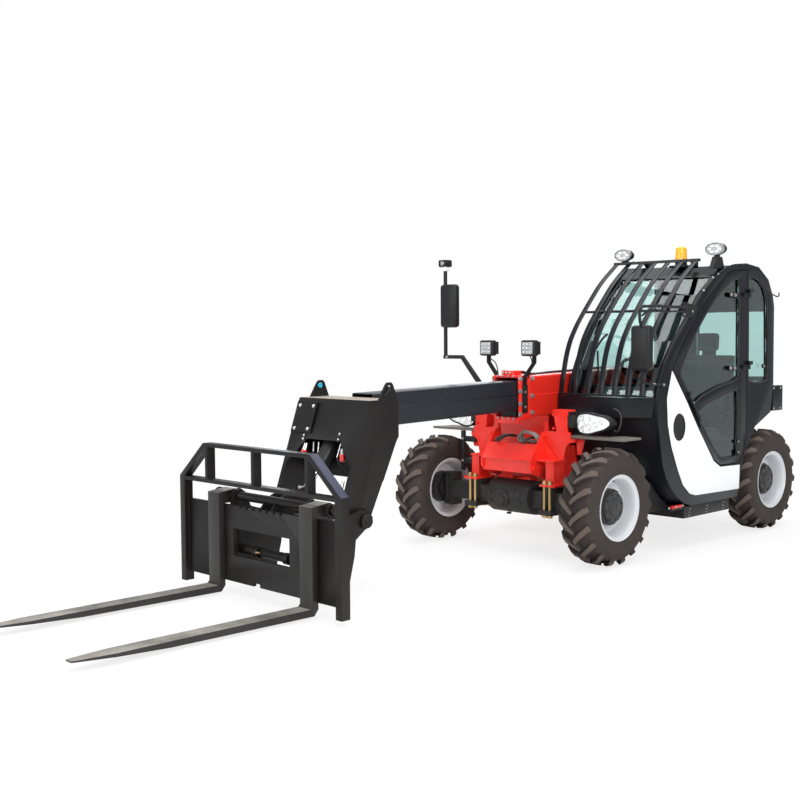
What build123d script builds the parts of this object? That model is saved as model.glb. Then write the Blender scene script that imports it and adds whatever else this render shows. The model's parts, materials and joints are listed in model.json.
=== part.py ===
"""Compact telehandler: chassis, cab, telescopic boom and fork carriage.

Row frame: +X is the machine's left (the cab side), the forks point along -Y and
+Z is up. The origin is on the ground under the middle of the plan box.
A "station" is a distance behind the front axle; st() turns (station, height)
into the (Y, Z) pair of a side view.
"""
from build123d import *
from math import cos, hypot, pi, radians, sin
import os

os.makedirs("parts", exist_ok=True)

# ------------------------------------------------------------ driving dimensions (mm)
FRONT_AXLE_Y = 590.0        # front axle behind the middle of the plan box
WHEELBASE = 1976.0
TYRE_R = 380.0              # outside the lugs
WHEEL_X = 741.0             # middle of each tyre from the centreline
KINGPIN_X = 640.0
RUNNING = 0.08              # radial play of a pin or shaft in its bore
SEAT = 0.3                  # gap of a piece that rests on its seat
MOVING_GAP = 6.0            # least gap beside a moving piece
REAR_AXLE_S = WHEELBASE

PIVOT_S, PIVOT_Z = REAR_AXLE_S + 194.0, 1123.0      # boom foot pivot
BOOM_SLOPE = 1.5                        # rise of the boom towards its foot, degrees
OUTER_W, OUTER_H, OUTER_WALL = 216.0, 283.0, 8.0
OUTER_FRONT = PIVOT_S + 111.0           # collar face, from the pivot along the boom
INNER_W, INNER_H, INNER_WALL = 188.0, 203.0, 8.0
INNER_LIFT = 14.0                       # inner axis above the outer axis
INNER_TAIL_S = 1120.0
HEAD_BACK_S = -1434.0                   # back plate of the boom head
TILT_PIN_S, TILT_PIN_Z = -1725.0, 445.0
TILT_PIN_R = 30.0

LIFT_BASE_S, LIFT_BASE_Z = REAR_AXLE_S - 196.0, 560.0
LIFT_EYE_S, LIFT_EYE_Z = 1000.0, 900.0
TILT_BASE_S, TILT_BASE_Z = -1500.0, 1065.0
TILT_EYE_S, TILT_EYE_Z = -1890.0, 600.0

CAB_IN_X, CAB_OUT_X = 122.0, 830.0
CAB_WALL = 36.0
CAB_SILL_Z = 298.0
DOOR_HINGE_X, DOOR_HINGE_S = CAB_OUT_X + 16.0, 1630.0
HINGE_ZS = (1225.0, 1751.0)
GLASS = 6.0

RAIL_X, RAIL_T = 98.0, 12.0             # inner face and thickness of each chassis rail
TOWER_X, TOWER_T = 116.0, 18.0          # boom tower plates

CARRIAGE_S = -2229.0                    # front face of the fork frame and of the fork shanks
CARRIAGE_HALF, CARRIAGE_MID = 735.0, -29.0      # the fork frame stands a little to the right
FORK_X, FORK_W, FORK_T = 420.0, 107.0, 40.0
FORK_TIP_S = -3598.0
REAR_S = REAR_AXLE_S + 442.0            # back of the counterweight


def st(s, z):
    """Side-view point: station s behind the front axle, height z."""
    return (FRONT_AXLE_Y + s, z)


def at_x(x):
    """Sketch plane facing +X; its axes are Y and Z."""
    return Plane.YZ.offset(x)


def at_s(s):
    """Sketch plane at a station, facing forwards (-Y); its axes are X and Z."""
    return Plane.XZ.offset(-(FRONT_AXLE_Y + s))


def at_z(z):
    return Plane.XY.offset(z)


def side_points(points):
    return [st(s, z) for s, z in points]


def side_plate(points, x0, x1, mode=Mode.ADD):
    """Plate with a side-view outline, from x0 to x1."""
    with BuildSketch(at_x(min(x0, x1))) as outline:
        with BuildLine():
            Polyline(*side_points(points), close=True)
        make_face()
    extrude(outline.sketch, amount=abs(x1 - x0), mode=mode)


def front_plate(points, s0, s1, mode=Mode.ADD):
    """Plate with a front-view outline (X, Z), from station s0 back to s1."""
    with BuildSketch(at_s(s1)) as outline:
        with BuildLine():
            Polyline(*points, close=True)
        make_face()
    extrude(outline.sketch, amount=s1 - s0, mode=mode)


def block(x, s, z, mode=Mode.ADD):
    """Box from (low, high) pairs of X, station and height."""
    with BuildSketch(at_z(z[0])) as plan:
        with Locations(((x[0] + x[1]) / 2, FRONT_AXLE_Y + (s[0] + s[1]) / 2)):
            Rectangle(x[1] - x[0], s[1] - s[0])
    extrude(plan.sketch, amount=z[1] - z[0], mode=mode)


def disc_or_polygon(r, sides):
    """Round section, or a regular polygon about it where a bar carries no bearing."""
    if sides:
        RegularPolygon(r, sides)
    else:
        Circle(r)


def cross_bar(s, z, r, x0, x1, mode=Mode.ADD, sides=0):
    """Bar along X."""
    with BuildSketch(at_x(min(x0, x1))) as disc:
        with Locations(st(s, z)):
            disc_or_polygon(r, sides)
    extrude(disc.sketch, amount=abs(x1 - x0), mode=mode)


def upright(x, s, z0, z1, r, mode=Mode.ADD, sides=0):
    """Bar along Z."""
    with BuildSketch(at_z(z0)) as disc:
        with Locations((x, FRONT_AXLE_Y + s)):
            disc_or_polygon(r, sides)
    extrude(disc.sketch, amount=z1 - z0, mode=mode)


def slanted_bar(start, end, r, sides=8, mode=Mode.ADD):
    """Bar between two (x, s, z) points."""
    a = Vector(start[0], FRONT_AXLE_Y + start[1], start[2])
    b = Vector(end[0], FRONT_AXLE_Y + end[1], end[2])
    along = (b - a).normalized()
    across = Vector(0, 0, 1).cross(along) if abs(along.Z) < 0.9 else Vector(1, 0, 0)
    with BuildSketch(Plane(origin=a, x_dir=across, z_dir=along)) as section:
        disc_or_polygon(r, sides)
    extrude(section.sketch, amount=(b - a).length, mode=mode)


def rounded_box(x, s, z, corner, axis=Axis.Y, mode=Mode.ADD):
    """Box whose edges along one axis are chamfered like a moulded corner."""
    with BuildPart(mode=Mode.PRIVATE) as box:
        block(x, s, z)
        chamfer(box.edges().filter_by(axis), corner)
    add(box.part, mode=mode)


def save(builder, name):
    builder.part.label = name
    export_step(builder.part, f"parts/{name}.step")


SIDES = ((+1, "l"), (-1, "r"))
AXLES = ((0.0, "f"), (WHEELBASE, "r"))

# ------------------------------------------------------------ boom directions
SLOPE = radians(BOOM_SLOPE)
PIVOT = Vector(0, FRONT_AXLE_Y + PIVOT_S, PIVOT_Z)
BOOM_DIR = Vector(0, -cos(SLOPE), -sin(SLOPE))
BOOM_UP = Vector(0, -sin(SLOPE), cos(SLOPE))


def boom_plane(distance, lift=0.0):
    """Cross-section plane of the boom, a distance in front of the pivot."""
    return Plane(origin=PIVOT + BOOM_DIR * distance + BOOM_UP * lift,
                 x_dir=(1, 0, 0), z_dir=BOOM_DIR)


# ------------------------------------------------------------ outer boom
PIVOT_PIN_R = 35.0
PIVOT_BOSS_R = 62.0
COLLAR_LEN, COLLAR_W, COLLAR_H = 130.0, OUTER_W + 16, OUTER_H + 16
LUG_IN, LUG_T = 41.0, 14.0


def boom_z(s, lift):
    """Height at a station of a line along the boom, lifted off its axis."""
    return PIVOT_Z + (lift - (PIVOT_S - s) * sin(SLOPE)) / cos(SLOPE)


with BuildPart() as outer_boom:
    with BuildSketch(boom_plane(0)):
        RectangleRounded(OUTER_W, OUTER_H, 14)
    extrude(amount=OUTER_FRONT)
    with BuildSketch(boom_plane(OUTER_FRONT - COLLAR_LEN)):
        RectangleRounded(COLLAR_W, COLLAR_H, 10)
    extrude(amount=COLLAR_LEN)
    # collar flange below the mouth, and the valve block on its top
    with BuildSketch(boom_plane(OUTER_FRONT - 26, -COLLAR_H / 2 - 8)):
        Rectangle(COLLAR_W * 0.8, 40)
    extrude(amount=14)
    with BuildSketch(boom_plane(OUTER_FRONT - 96, COLLAR_H / 2 + 14)):
        Rectangle(110, 34)
    extrude(amount=80)
    cross_bar(PIVOT_S, PIVOT_Z, PIVOT_BOSS_R, -OUTER_W / 2, OUTER_W / 2)
    with BuildSketch(boom_plane(PIVOT_BOSS_R)):
        Rectangle(OUTER_W - 2 * OUTER_WALL, OUTER_H - 2 * OUTER_WALL)
    extrude(amount=OUTER_FRONT, mode=Mode.SUBTRACT)
    under = -OUTER_H / 2 + OUTER_WALL / 2
    for side, _ in SIDES:
        side_plate([(LIFT_EYE_S - 60, boom_z(LIFT_EYE_S - 60, under)), (LIFT_EYE_S + 160, boom_z(LIFT_EYE_S + 160, under)),
                    (LIFT_EYE_S + 45, LIFT_EYE_Z - 42), (LIFT_EYE_S - 45, LIFT_EYE_Z - 42)],
                   side * LUG_IN, side * (LUG_IN + LUG_T))
    cross_bar(PIVOT_S, PIVOT_Z, PIVOT_PIN_R + RUNNING, -OUTER_W, OUTER_W, mode=Mode.SUBTRACT)
save(outer_boom, "outer_boom")

# ------------------------------------------------------------ inner boom
with BuildPart() as inner_boom:
    tail = PIVOT_S - INNER_TAIL_S
    nose = PIVOT_S - HEAD_BACK_S + 20
    with BuildSketch(boom_plane(tail, INNER_LIFT)):
        RectangleRounded(INNER_W, INNER_H, 12)
        RectangleRounded(INNER_W - 2 * INNER_WALL, INNER_H - 2 * INNER_WALL, 5, mode=Mode.SUBTRACT)
    extrude(amount=nose - tail)
    # wear pad on the tail, which slides below the outer boom's roof
    pad_t = (OUTER_H - 2 * OUTER_WALL - INNER_H) / 2 - INNER_LIFT - SEAT
    with BuildSketch(boom_plane(tail + 20, INNER_LIFT + INNER_H / 2)):
        with Locations((0, pad_t / 2)):
            Rectangle(INNER_W * 0.6, pad_t)
    extrude(amount=120)
    block((-400, 400), (HEAD_BACK_S - 200, HEAD_BACK_S), (0, 2000), mode=Mode.SUBTRACT)
save(inner_boom, "inner_boom")

with BuildPart() as boom_pad:
    # front wear pad, on the collar's floor below the inner boom
    pad_len = 70
    low = -(OUTER_H / 2 - OUTER_WALL)
    with BuildSketch(boom_plane(OUTER_FRONT - 20 - pad_len)):
        gap = -low - INNER_H / 2 + INNER_LIFT
        with Locations((0, low + (gap - SEAT) / 2)):
            Rectangle(INNER_W * 0.7, gap - SEAT)
    extrude(amount=pad_len)
save(boom_pad, "boom_pad")

# ------------------------------------------------------------ boom head
HEAD_HALF, HEAD_PLATE = 312.0, 14.0
HEAD_TOP_Z, HEAD_TOP_S = 1121.0, -1664.0
HEAD_FRONT = (-1850.0, 585.0)           # where the slanted front plate ends
HEAD_FOOT_R = 50.0                      # metal round the tilt pin
HEAD_BACK_Z = 905.0
FRONT_T = 10.0
FRONT_RUN = (HEAD_FRONT[0] - HEAD_TOP_S) / (HEAD_FRONT[1] - HEAD_TOP_Z)     # station per height
HEAD_OPEN_X, HEAD_OPEN_Z, HEAD_FLARE = 148.0, 885.0, 137.0
EYE_PLATE_T = 14.0
EAR_S, EAR_RISE, EAR_BORE_R = -1504.0, 67.0, 17.0


def head_front(z):
    return HEAD_TOP_S + FRONT_RUN * (z - HEAD_TOP_Z)


HEAD_SIDE = [(HEAD_TOP_S, HEAD_TOP_Z), (HEAD_BACK_S, HEAD_TOP_Z), (HEAD_BACK_S, HEAD_BACK_Z), (HEAD_BACK_S - 21, 872),
             (TILT_PIN_S + 75, 480), (TILT_PIN_S + 57, TILT_PIN_Z - 5), (TILT_PIN_S + 38, TILT_PIN_Z - HEAD_FOOT_R),
             (TILT_PIN_S - 35, TILT_PIN_Z - HEAD_FOOT_R), (TILT_PIN_S - 70, TILT_PIN_Z - 15), HEAD_FRONT]

with BuildPart() as boom_head:
    for side, _ in SIDES:
        x = (side * (HEAD_HALF - HEAD_PLATE), side * HEAD_HALF)
        side_plate(HEAD_SIDE, *x)
        # lifting ears with a rounded top
        side_plate([(EAR_S - 86, HEAD_TOP_Z - 5), (EAR_S - 30, HEAD_TOP_Z + EAR_RISE + 18), (EAR_S - 14, HEAD_TOP_Z + EAR_RISE + 32),
                    (EAR_S + 14, HEAD_TOP_Z + EAR_RISE + 32), (EAR_S + 28, HEAD_TOP_Z + EAR_RISE + 18), (EAR_S + 64, HEAD_TOP_Z - 5)], *x)
    # roof, slanted front and the plates at the back
    side_plate([(HEAD_TOP_S, HEAD_TOP_Z), (HEAD_BACK_S, HEAD_TOP_Z), (HEAD_BACK_S, HEAD_TOP_Z - 14),
                (head_front(HEAD_TOP_Z - 14), HEAD_TOP_Z - 14)], -HEAD_HALF, HEAD_HALF)
    side_plate([(head_front(HEAD_TOP_Z - 5), HEAD_TOP_Z - 5), (head_front(HEAD_TOP_Z - 5) + FRONT_T, HEAD_TOP_Z - 5),
                (head_front(HEAD_FRONT[1] + 25) + FRONT_T, HEAD_FRONT[1] + 25), (head_front(HEAD_FRONT[1] + 25), HEAD_FRONT[1] + 25)],
               -HEAD_HALF, HEAD_HALF)
    block((-HEAD_HALF, HEAD_HALF), (HEAD_BACK_S - 14, HEAD_BACK_S), (HEAD_BACK_Z, HEAD_TOP_Z))
    side_plate([(HEAD_BACK_S, HEAD_BACK_Z + 5), (HEAD_BACK_S, HEAD_BACK_Z), (HEAD_BACK_S - 21, 872), (-1560, 654), (-1573, 654),
                (HEAD_BACK_S - 35, 872), (HEAD_BACK_S - 14, HEAD_BACK_Z + 5)], -HEAD_HALF, HEAD_HALF)
    # opening for the tilt cylinder: a narrow top that flares out to the side plates
    front_plate([(-HEAD_OPEN_X, HEAD_OPEN_Z), (HEAD_OPEN_X, HEAD_OPEN_Z), (HEAD_OPEN_X + HEAD_FLARE, HEAD_OPEN_Z - HEAD_FLARE),
                 (HEAD_OPEN_X + HEAD_FLARE, 500), (-HEAD_OPEN_X - HEAD_FLARE, 500), (-HEAD_OPEN_X - HEAD_FLARE, HEAD_OPEN_Z - HEAD_FLARE)],
                -2000, -1640, mode=Mode.SUBTRACT)
    # ears and pin of the tilt cylinder
    for side, _ in SIDES:
        side_plate([(TILT_BASE_S - 110, HEAD_TOP_Z - 10), (TILT_BASE_S + 40, HEAD_TOP_Z - 10), (TILT_BASE_S + 30, TILT_BASE_Z - 36),
                    (TILT_BASE_S - 36, TILT_BASE_Z - 36)], side * LUG_IN, side * (LUG_IN + EYE_PLATE_T))
    cross_bar(TILT_BASE_S, TILT_BASE_Z, 18, -LUG_IN - EYE_PLATE_T, LUG_IN + EYE_PLATE_T)
    cross_bar(TILT_PIN_S, TILT_PIN_Z, TILT_PIN_R + RUNNING, -HEAD_HALF - 10, HEAD_HALF + 10, mode=Mode.SUBTRACT)
    for side, _ in SIDES:
        cross_bar(EAR_S, HEAD_TOP_Z + EAR_RISE, EAR_BORE_R, side * (HEAD_HALF - HEAD_PLATE - 5), side * (HEAD_HALF + 5),
                  mode=Mode.SUBTRACT)
save(boom_head, "boom_head")

# ------------------------------------------------------------ fork carriage
POST_W, POST_D = 48.0, 58.0
POST_Z = (27.0, 640.0)
SHAFT_S, SHAFT_Z, SHAFT_R = -2110.0, 565.0, 26.0
PLATE_S0 = CARRIAGE_S + FORK_T + 3
PLATE_T = 20.0
PLATE_S1 = PLATE_S0 + PLATE_T
PLATE_Z = (78.0, 521.0)
WINDOW_HALF, WINDOW_Z = 257.0, (231.0, 390.0)
ARM_IN, ARM_T = HEAD_HALF + MOVING_GAP, 25.0
BACKREST_TOP, BACKREST_HALF = 870.0, 476.0
BAR_T = 22.0                            # flat bars of the load backrest
ARM_SIDE = [(PLATE_S1 - 5, PLATE_Z[0] + 12), (PLATE_S1 - 5, 500), (SHAFT_S - 45, SHAFT_Z + 12), (SHAFT_S, SHAFT_Z + 46),
            (SHAFT_S + 40, SHAFT_Z + 20), (SHAFT_S + 75, 500), (-1960, 476), (TILT_PIN_S - 125, TILT_PIN_Z + 43),
            (TILT_PIN_S - 35, TILT_PIN_Z + 70), (TILT_PIN_S + 20, TILT_PIN_Z + 58), (TILT_PIN_S + 52, TILT_PIN_Z + 15),
            (TILT_PIN_S + 40, TILT_PIN_Z - 32), (TILT_PIN_S - 10, TILT_PIN_Z - 50), (TILT_PIN_S - 78, 347),
            (TILT_PIN_S - 88, 260), (TILT_PIN_S - 124, 122), (TILT_PIN_S - 140, PLATE_Z[0] + 12)]

with BuildPart() as carriage:
    left, right = CARRIAGE_MID - CARRIAGE_HALF, CARRIAGE_MID + CARRIAGE_HALF
    front_plate([(left + 5, PLATE_Z[0]), (right - 5, PLATE_Z[0]), (right - 5, PLATE_Z[1]), (left + 5, PLATE_Z[1])], PLATE_S0, PLATE_S1)
    front_plate([(CARRIAGE_MID - WINDOW_HALF, WINDOW_Z[0]), (CARRIAGE_MID + WINDOW_HALF, WINDOW_Z[0]),
                 (CARRIAGE_MID + WINDOW_HALF, WINDOW_Z[1]), (CARRIAGE_MID - WINDOW_HALF, WINDOW_Z[1])],
                PLATE_S0 - 10, PLATE_S1 + 10, mode=Mode.SUBTRACT)
    # locking notches along the plate's top edge and the release slot in its bottom edge
    for k in range(-3, 4):
        block((CARRIAGE_MID + k * 62 - 9, CARRIAGE_MID + k * 62 + 9), (PLATE_S0 - 5, PLATE_S1 + 5), (PLATE_Z[1] - 12, PLATE_Z[1] + 5),
              mode=Mode.SUBTRACT)
    block((-100, -40), (PLATE_S0 - 5, PLATE_S1 + 5), (PLATE_Z[0] - 5, PLATE_Z[0] + 20), mode=Mode.SUBTRACT)
    for x0 in (left, right - POST_W):
        block((x0, x0 + POST_W), (CARRIAGE_S, CARRIAGE_S + POST_D), POST_Z)
    cross_bar(SHAFT_S, SHAFT_Z, SHAFT_R, -530, 530)
    for side, _ in SIDES:
        side_plate(ARM_SIDE, side * ARM_IN, side * (ARM_IN + ARM_T))
        cross_bar(TILT_PIN_S, TILT_PIN_Z, 40, side * (ARM_IN + ARM_T), side * (ARM_IN + ARM_T + 14), sides=16)
        # eye of the tilt cylinder, on two plates from the back plate
        side_plate([(PLATE_S1 - 5, 410), (PLATE_S1 - 5, 518), (SHAFT_S - 20, SHAFT_Z + 8), (SHAFT_S + 30, SHAFT_Z + 34),
                    (TILT_EYE_S - 30, TILT_EYE_Z + 34), (TILT_EYE_S + 34, TILT_EYE_Z + 20), (TILT_EYE_S + 34, TILT_EYE_Z - 30)],
                   side * LUG_IN, side * (LUG_IN + EYE_PLATE_T))
        # slanted end of the load backrest
        x_out, x_top = CARRIAGE_MID + side * CARRIAGE_HALF, CARRIAGE_MID + side * BACKREST_HALF
        front_plate([(x_out, POST_Z[1] - 2), (x_out, POST_Z[1] + BAR_T), (x_top + side * 12, BACKREST_TOP), (x_top - side * 8, BACKREST_TOP),
                     (x_top - side * 8, BACKREST_TOP - BAR_T), (x_out - side * 34, POST_Z[1] + 8), (x_out - side * 34, POST_Z[1] - 2)],
                    CARRIAGE_S, CARRIAGE_S + POST_D)
    block((left, right), (CARRIAGE_S, CARRIAGE_S + POST_D), (POST_Z[1] - 2, POST_Z[1] - 2 + BAR_T))
    block((CARRIAGE_MID - BACKREST_HALF, CARRIAGE_MID + BACKREST_HALF), (CARRIAGE_S, CARRIAGE_S + POST_D),
          (BACKREST_TOP - BAR_T, BACKREST_TOP))
    for dx in (-459, -13, 459):
        block((CARRIAGE_MID + dx - 12, CARRIAGE_MID + dx + 12), (CARRIAGE_S + 1, CARRIAGE_S + POST_D - 1), (POST_Z[1], BACKREST_TOP - 5))
    # cross tube that stiffens the arms, seen through the window
    cross_bar(SHAFT_S + 10, 255, 27, -ARM_IN - 5, ARM_IN + 5, sides=16)
    cross_bar(TILT_PIN_S, TILT_PIN_Z, TILT_PIN_R, -(ARM_IN + ARM_T + 5), ARM_IN + ARM_T + 5)
save(carriage, "carriage")

# ------------------------------------------------------------ forks
TINE_TOP = 52.0
EYE_R = 40.0                            # eyes that hang the forks on the carriage's shaft
SHANK_TOP = 590.0
TIP_LEN = 220.0
with BuildPart() as forks:
    for side, _ in SIDES:
        x0, x1 = side * FORK_X - FORK_W / 2, side * FORK_X + FORK_W / 2
        side_plate([(CARRIAGE_S, SHANK_TOP), (SHAFT_S, SHAFT_Z + EYE_R), (SHAFT_S, SHAFT_Z - EYE_R), (CARRIAGE_S + FORK_T, PLATE_Z[1] + 5),
                    (CARRIAGE_S + FORK_T, TINE_TOP - 6), (CARRIAGE_S + 12, TINE_TOP - FORK_T), (FORK_TIP_S + 500, TINE_TOP - FORK_T + 8),
                    (FORK_TIP_S, TINE_TOP - 8), (FORK_TIP_S, TINE_TOP), (CARRIAGE_S - 14, TINE_TOP), (CARRIAGE_S, TINE_TOP + 14)], x0, x1)
        cross_bar(SHAFT_S, SHAFT_Z, EYE_R, x0, x1, sides=16)
        cross_bar(SHAFT_S, SHAFT_Z, SHAFT_R + SEAT, x0 - 1, x1 + 1, mode=Mode.SUBTRACT)
        # the tine's tip tapers in plan
        for edge in (-1, 1):
            with BuildSketch(at_z(0)):
                with BuildLine():
                    ex = side * FORK_X + edge * FORK_W / 2
                    Polyline((ex + edge, FRONT_AXLE_Y + FORK_TIP_S + TIP_LEN), (ex + edge, FRONT_AXLE_Y + FORK_TIP_S - 1),
                             (ex - edge * 30, FRONT_AXLE_Y + FORK_TIP_S - 1), (ex - edge * 24, FRONT_AXLE_Y + FORK_TIP_S + 20), close=True)
                make_face()
            extrude(amount=100, mode=Mode.SUBTRACT)
save(forks, "forks")


# ------------------------------------------------------------ hydraulic cylinders
NECK_LEN = 58.0                         # narrow end of a barrel, between its lugs


def cylinder(base, eye, barrel_r, barrel_len, rod_r, eye_r, half_w, closing, names):
    """Barrel and rod between two side-view points; each ends in an eye along X."""
    ds, dz = eye[0] - base[0], eye[1] - base[1]
    length = hypot(ds, dz)
    along = Vector(0, ds / length, dz / length)
    start = Vector(0, FRONT_AXLE_Y + base[0], base[1])
    with BuildPart() as barrel:
        with BuildSketch(Plane(origin=start + along * (eye_r * 0.5), x_dir=(1, 0, 0), z_dir=along)):
            RegularPolygon(min(barrel_r, half_w) * 0.96, 12)
        extrude(amount=NECK_LEN + 4 - eye_r * 0.5)
        with BuildSketch(Plane(origin=start + along * NECK_LEN, x_dir=(1, 0, 0), z_dir=along)):
            Circle(barrel_r)
        extrude(amount=barrel_len - NECK_LEN)
        cross_bar(base[0], base[1], eye_r, -half_w, half_w)
        with BuildSketch(Plane(origin=start + along * (eye_r + 40), x_dir=(1, 0, 0), z_dir=along)):
            Circle(rod_r + RUNNING)
        extrude(amount=barrel_len, mode=Mode.SUBTRACT)
        cross_bar(base[0], base[1], 18 + RUNNING, -half_w - 5, half_w + 5, mode=Mode.SUBTRACT)
    save(barrel, names[0])
    with BuildPart() as rod:
        rod_start = eye_r + 60 + closing
        with BuildSketch(Plane(origin=start + along * rod_start, x_dir=(1, 0, 0), z_dir=along)):
            Circle(rod_r)
        extrude(amount=length - rod_start)
        cross_bar(eye[0], eye[1], eye_r, -half_w, half_w)
        cross_bar(eye[0], eye[1], 18, -half_w - 5, half_w + 5, mode=Mode.SUBTRACT)
    save(rod, names[1])


cylinder((LIFT_BASE_S, LIFT_BASE_Z), (LIFT_EYE_S, LIFT_EYE_Z), 55, 760, 30, 38, 35, 10, ("lift_barrel", "lift_rod"))
cylinder((TILT_BASE_S, TILT_BASE_Z), (TILT_EYE_S, TILT_EYE_Z), 48, 440, 22, 33, 35, 60, ("tilt_barrel", "tilt_rod"))

# ------------------------------------------------------------ chassis
RAIL_PROFILE = [(86, 480), (250, 480), (400, 250), (REAR_AXLE_S - 476, 250), (REAR_AXLE_S - 356, 520), (REAR_AXLE_S + 210, 520),
                (REAR_AXLE_S + 210, 700), (86, 700)]
CW_X, CW_S0 = 425.0, REAR_AXLE_S + 214.0
TOW_LEN, TOW_Z, TOW_BORE_R = 60.0, 570.0, 16.0
TOWER_S0 = REAR_AXLE_S + 70.0

with BuildPart() as chassis_frame:
    for side, _ in SIDES:
        side_plate(RAIL_PROFILE, side * RAIL_X, side * (RAIL_X + RAIL_T))
        side_plate([(TOWER_S0, 530), (CW_S0, 530), (CW_S0, 880), (PIVOT_S + 120, 880), (PIVOT_S + 120, 1110), (PIVOT_S + 60, 1215),
                    (PIVOT_S - 60, 1215), (TOWER_S0, 1110)], side * TOWER_X, side * (TOWER_X + TOWER_T))
        block(sorted((side * (RAIL_X + RAIL_T), side * TOWER_X)), (TOWER_S0, REAR_AXLE_S + 210), (530, 690))
        for s0 in (860, 1300):
            outrigger = sorted((side * RAIL_X, side * (440 if side > 0 else 137.7)))
            block(outrigger, (s0, s0 + 80), (252, CAB_SILL_Z - SEAT) if side > 0 else (400, 460))
    block((-RAIL_X, RAIL_X), (420, REAR_AXLE_S - 496), (250, 262))
    block((-RAIL_X, RAIL_X), (86, 120), (500, 700))
    block((-RAIL_X, RAIL_X), (REAR_AXLE_S - 100, REAR_AXLE_S + 100), (520, 532))
    block((-TOWER_X, TOWER_X), (REAR_AXLE_S + 144, REAR_AXLE_S + 160), (560, 800))
    cross_bar(PIVOT_S, PIVOT_Z, PIVOT_PIN_R, -(TOWER_X + TOWER_T + 8), TOWER_X + TOWER_T + 8)
    cross_bar(LIFT_BASE_S, LIFT_BASE_Z, 18, -RAIL_X, RAIL_X)
    # counterweight block with the tow hitch jaws
    block((-CW_X, CW_X), (CW_S0, REAR_S - TOW_LEN), (420, 880))
    for z0 in (TOW_Z - 50, TOW_Z + 30):
        block((-60, 60), (REAR_S - TOW_LEN, REAR_S), (z0, z0 + 20))
    upright(0, REAR_S - 28, TOW_Z - 55, TOW_Z + 55, TOW_BORE_R, mode=Mode.SUBTRACT)
save(chassis_frame, "chassis_frame")

# ------------------------------------------------------------ front frame
CHEEK_X, CHEEK_T = 208.0, 12.0          # the two side plates that carry everything ahead of the rails
FOOT_Z, FOOT_T = 478.0, 14.0
STUDS_X, STUDS_S = (310.0, 356.0), 77.0
WING_S = (30.0, 42.0)
UPRIGHT_X = (286.0, 409.0)
UPRIGHT_TOP = 985.0
CROSS_TOP = (-117.0, 640.0, -50.0, 745.0)           # front and back edge of the sloping top plate

with BuildPart() as front_frame:
    for side, _ in SIDES:
        side_plate([(-128, 640), (10, 827), (44, 838), (44, 900), (58, 900), (86, 760), (86, 560), (40, 500), (-22, 527),
                    (-108, 558), (-128, 590)], side * CHEEK_X, side * (CHEEK_X + CHEEK_T))
        # column on the axle: foot flange, post, shelf and gusset
        block(sorted((side * 280, side * 405)), (-105, 105), (FOOT_Z, FOOT_Z + FOOT_T))
        block(sorted((side * 298, side * 366)), (-60, 60), (FOOT_Z + FOOT_T, 645))
        block(sorted((side * (CHEEK_X + 5), side * 372)), (-66, 66), (640, 652))
        front_plate([(side * (CHEEK_X + 5), 775), (side * (CHEEK_X + 5), 650), (side * 335, 650)], 12, 24)
        # wing plate behind the column, with an ear for the fender, and the leg below the lamp
        front_plate([(side * (CHEEK_X + 5), 590), (side * (CHEEK_X + 5), 838), (side * 430, 838), (side * 430, 770), (side * 395, 740),
                     (side * 372, 645), (side * 300, 590)], *WING_S)
        block(sorted((side * 418, side * 452)), (WING_S[0], 98), (770, 794))
        front_plate([(side * 442, 794), (side * 505, 794), (side * 478, 687), (side * 446, 687)], 86, 98)
        # lamp upright: a channel open to the outside
        front_plate([(side * (UPRIGHT_X[0] + 32), 835), (side * UPRIGHT_X[0], UPRIGHT_TOP), (side * UPRIGHT_X[1], UPRIGHT_TOP),
                     (side * UPRIGHT_X[1], 835)], *WING_S)
        front_plate([(side * (UPRIGHT_X[0] + 32), 835), (side * UPRIGHT_X[0], UPRIGHT_TOP), (side * (UPRIGHT_X[0] + 12), UPRIGHT_TOP),
                     (side * (UPRIGHT_X[0] + 44), 835)], WING_S[0], 118)
        block(sorted((side * UPRIGHT_X[0], side * UPRIGHT_X[1])), (WING_S[0], 118), (UPRIGHT_TOP - 12, UPRIGHT_TOP))
        for x in STUDS_X:
            for s in (-STUDS_S, STUDS_S):
                upright(side * x, s, FOOT_Z - 8, FOOT_Z + FOOT_T + 8, 12.5, mode=Mode.SUBTRACT, sides=10)
    # cross box between the cheeks: recessed front, floor, sloping top with a lip, closed back
    s0, z0, s1, z1 = CROSS_TOP
    side_plate([(s0 - 3, z0 - 6), (s0 - 8, z0 + 4), (s1, z1), (84, z1 + 2), (84, z1 - 8), (s1 + 5, z1 - 10)], -CHEEK_X - 5, CHEEK_X + 5)
    block((-CHEEK_X - 5, CHEEK_X + 5), (s0 + 10, s0 + 22), (556, z0 + 14))
    block((-CHEEK_X - 5, CHEEK_X + 5), (s0 + 10, 84), (556, 568))
    block((-CHEEK_X - 5, CHEEK_X + 5), (73, 86), (556, z1 + 2))
save(front_frame, "front_frame")

# ------------------------------------------------------------ axles, knuckles, wheels
AXLE_Z = TYRE_R
YOKE_T, YOKE_HALF = 24.0, 92.0
KING_R = 20.0
SPINDLE_R = 40.0
HUB_IN, HUB_OUT = -45.0, 76.0           # along the wheel axis, outwards from the tyre's middle
HOUSING_R, HOUSING_HALF = 117.0, 180.0


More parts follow.
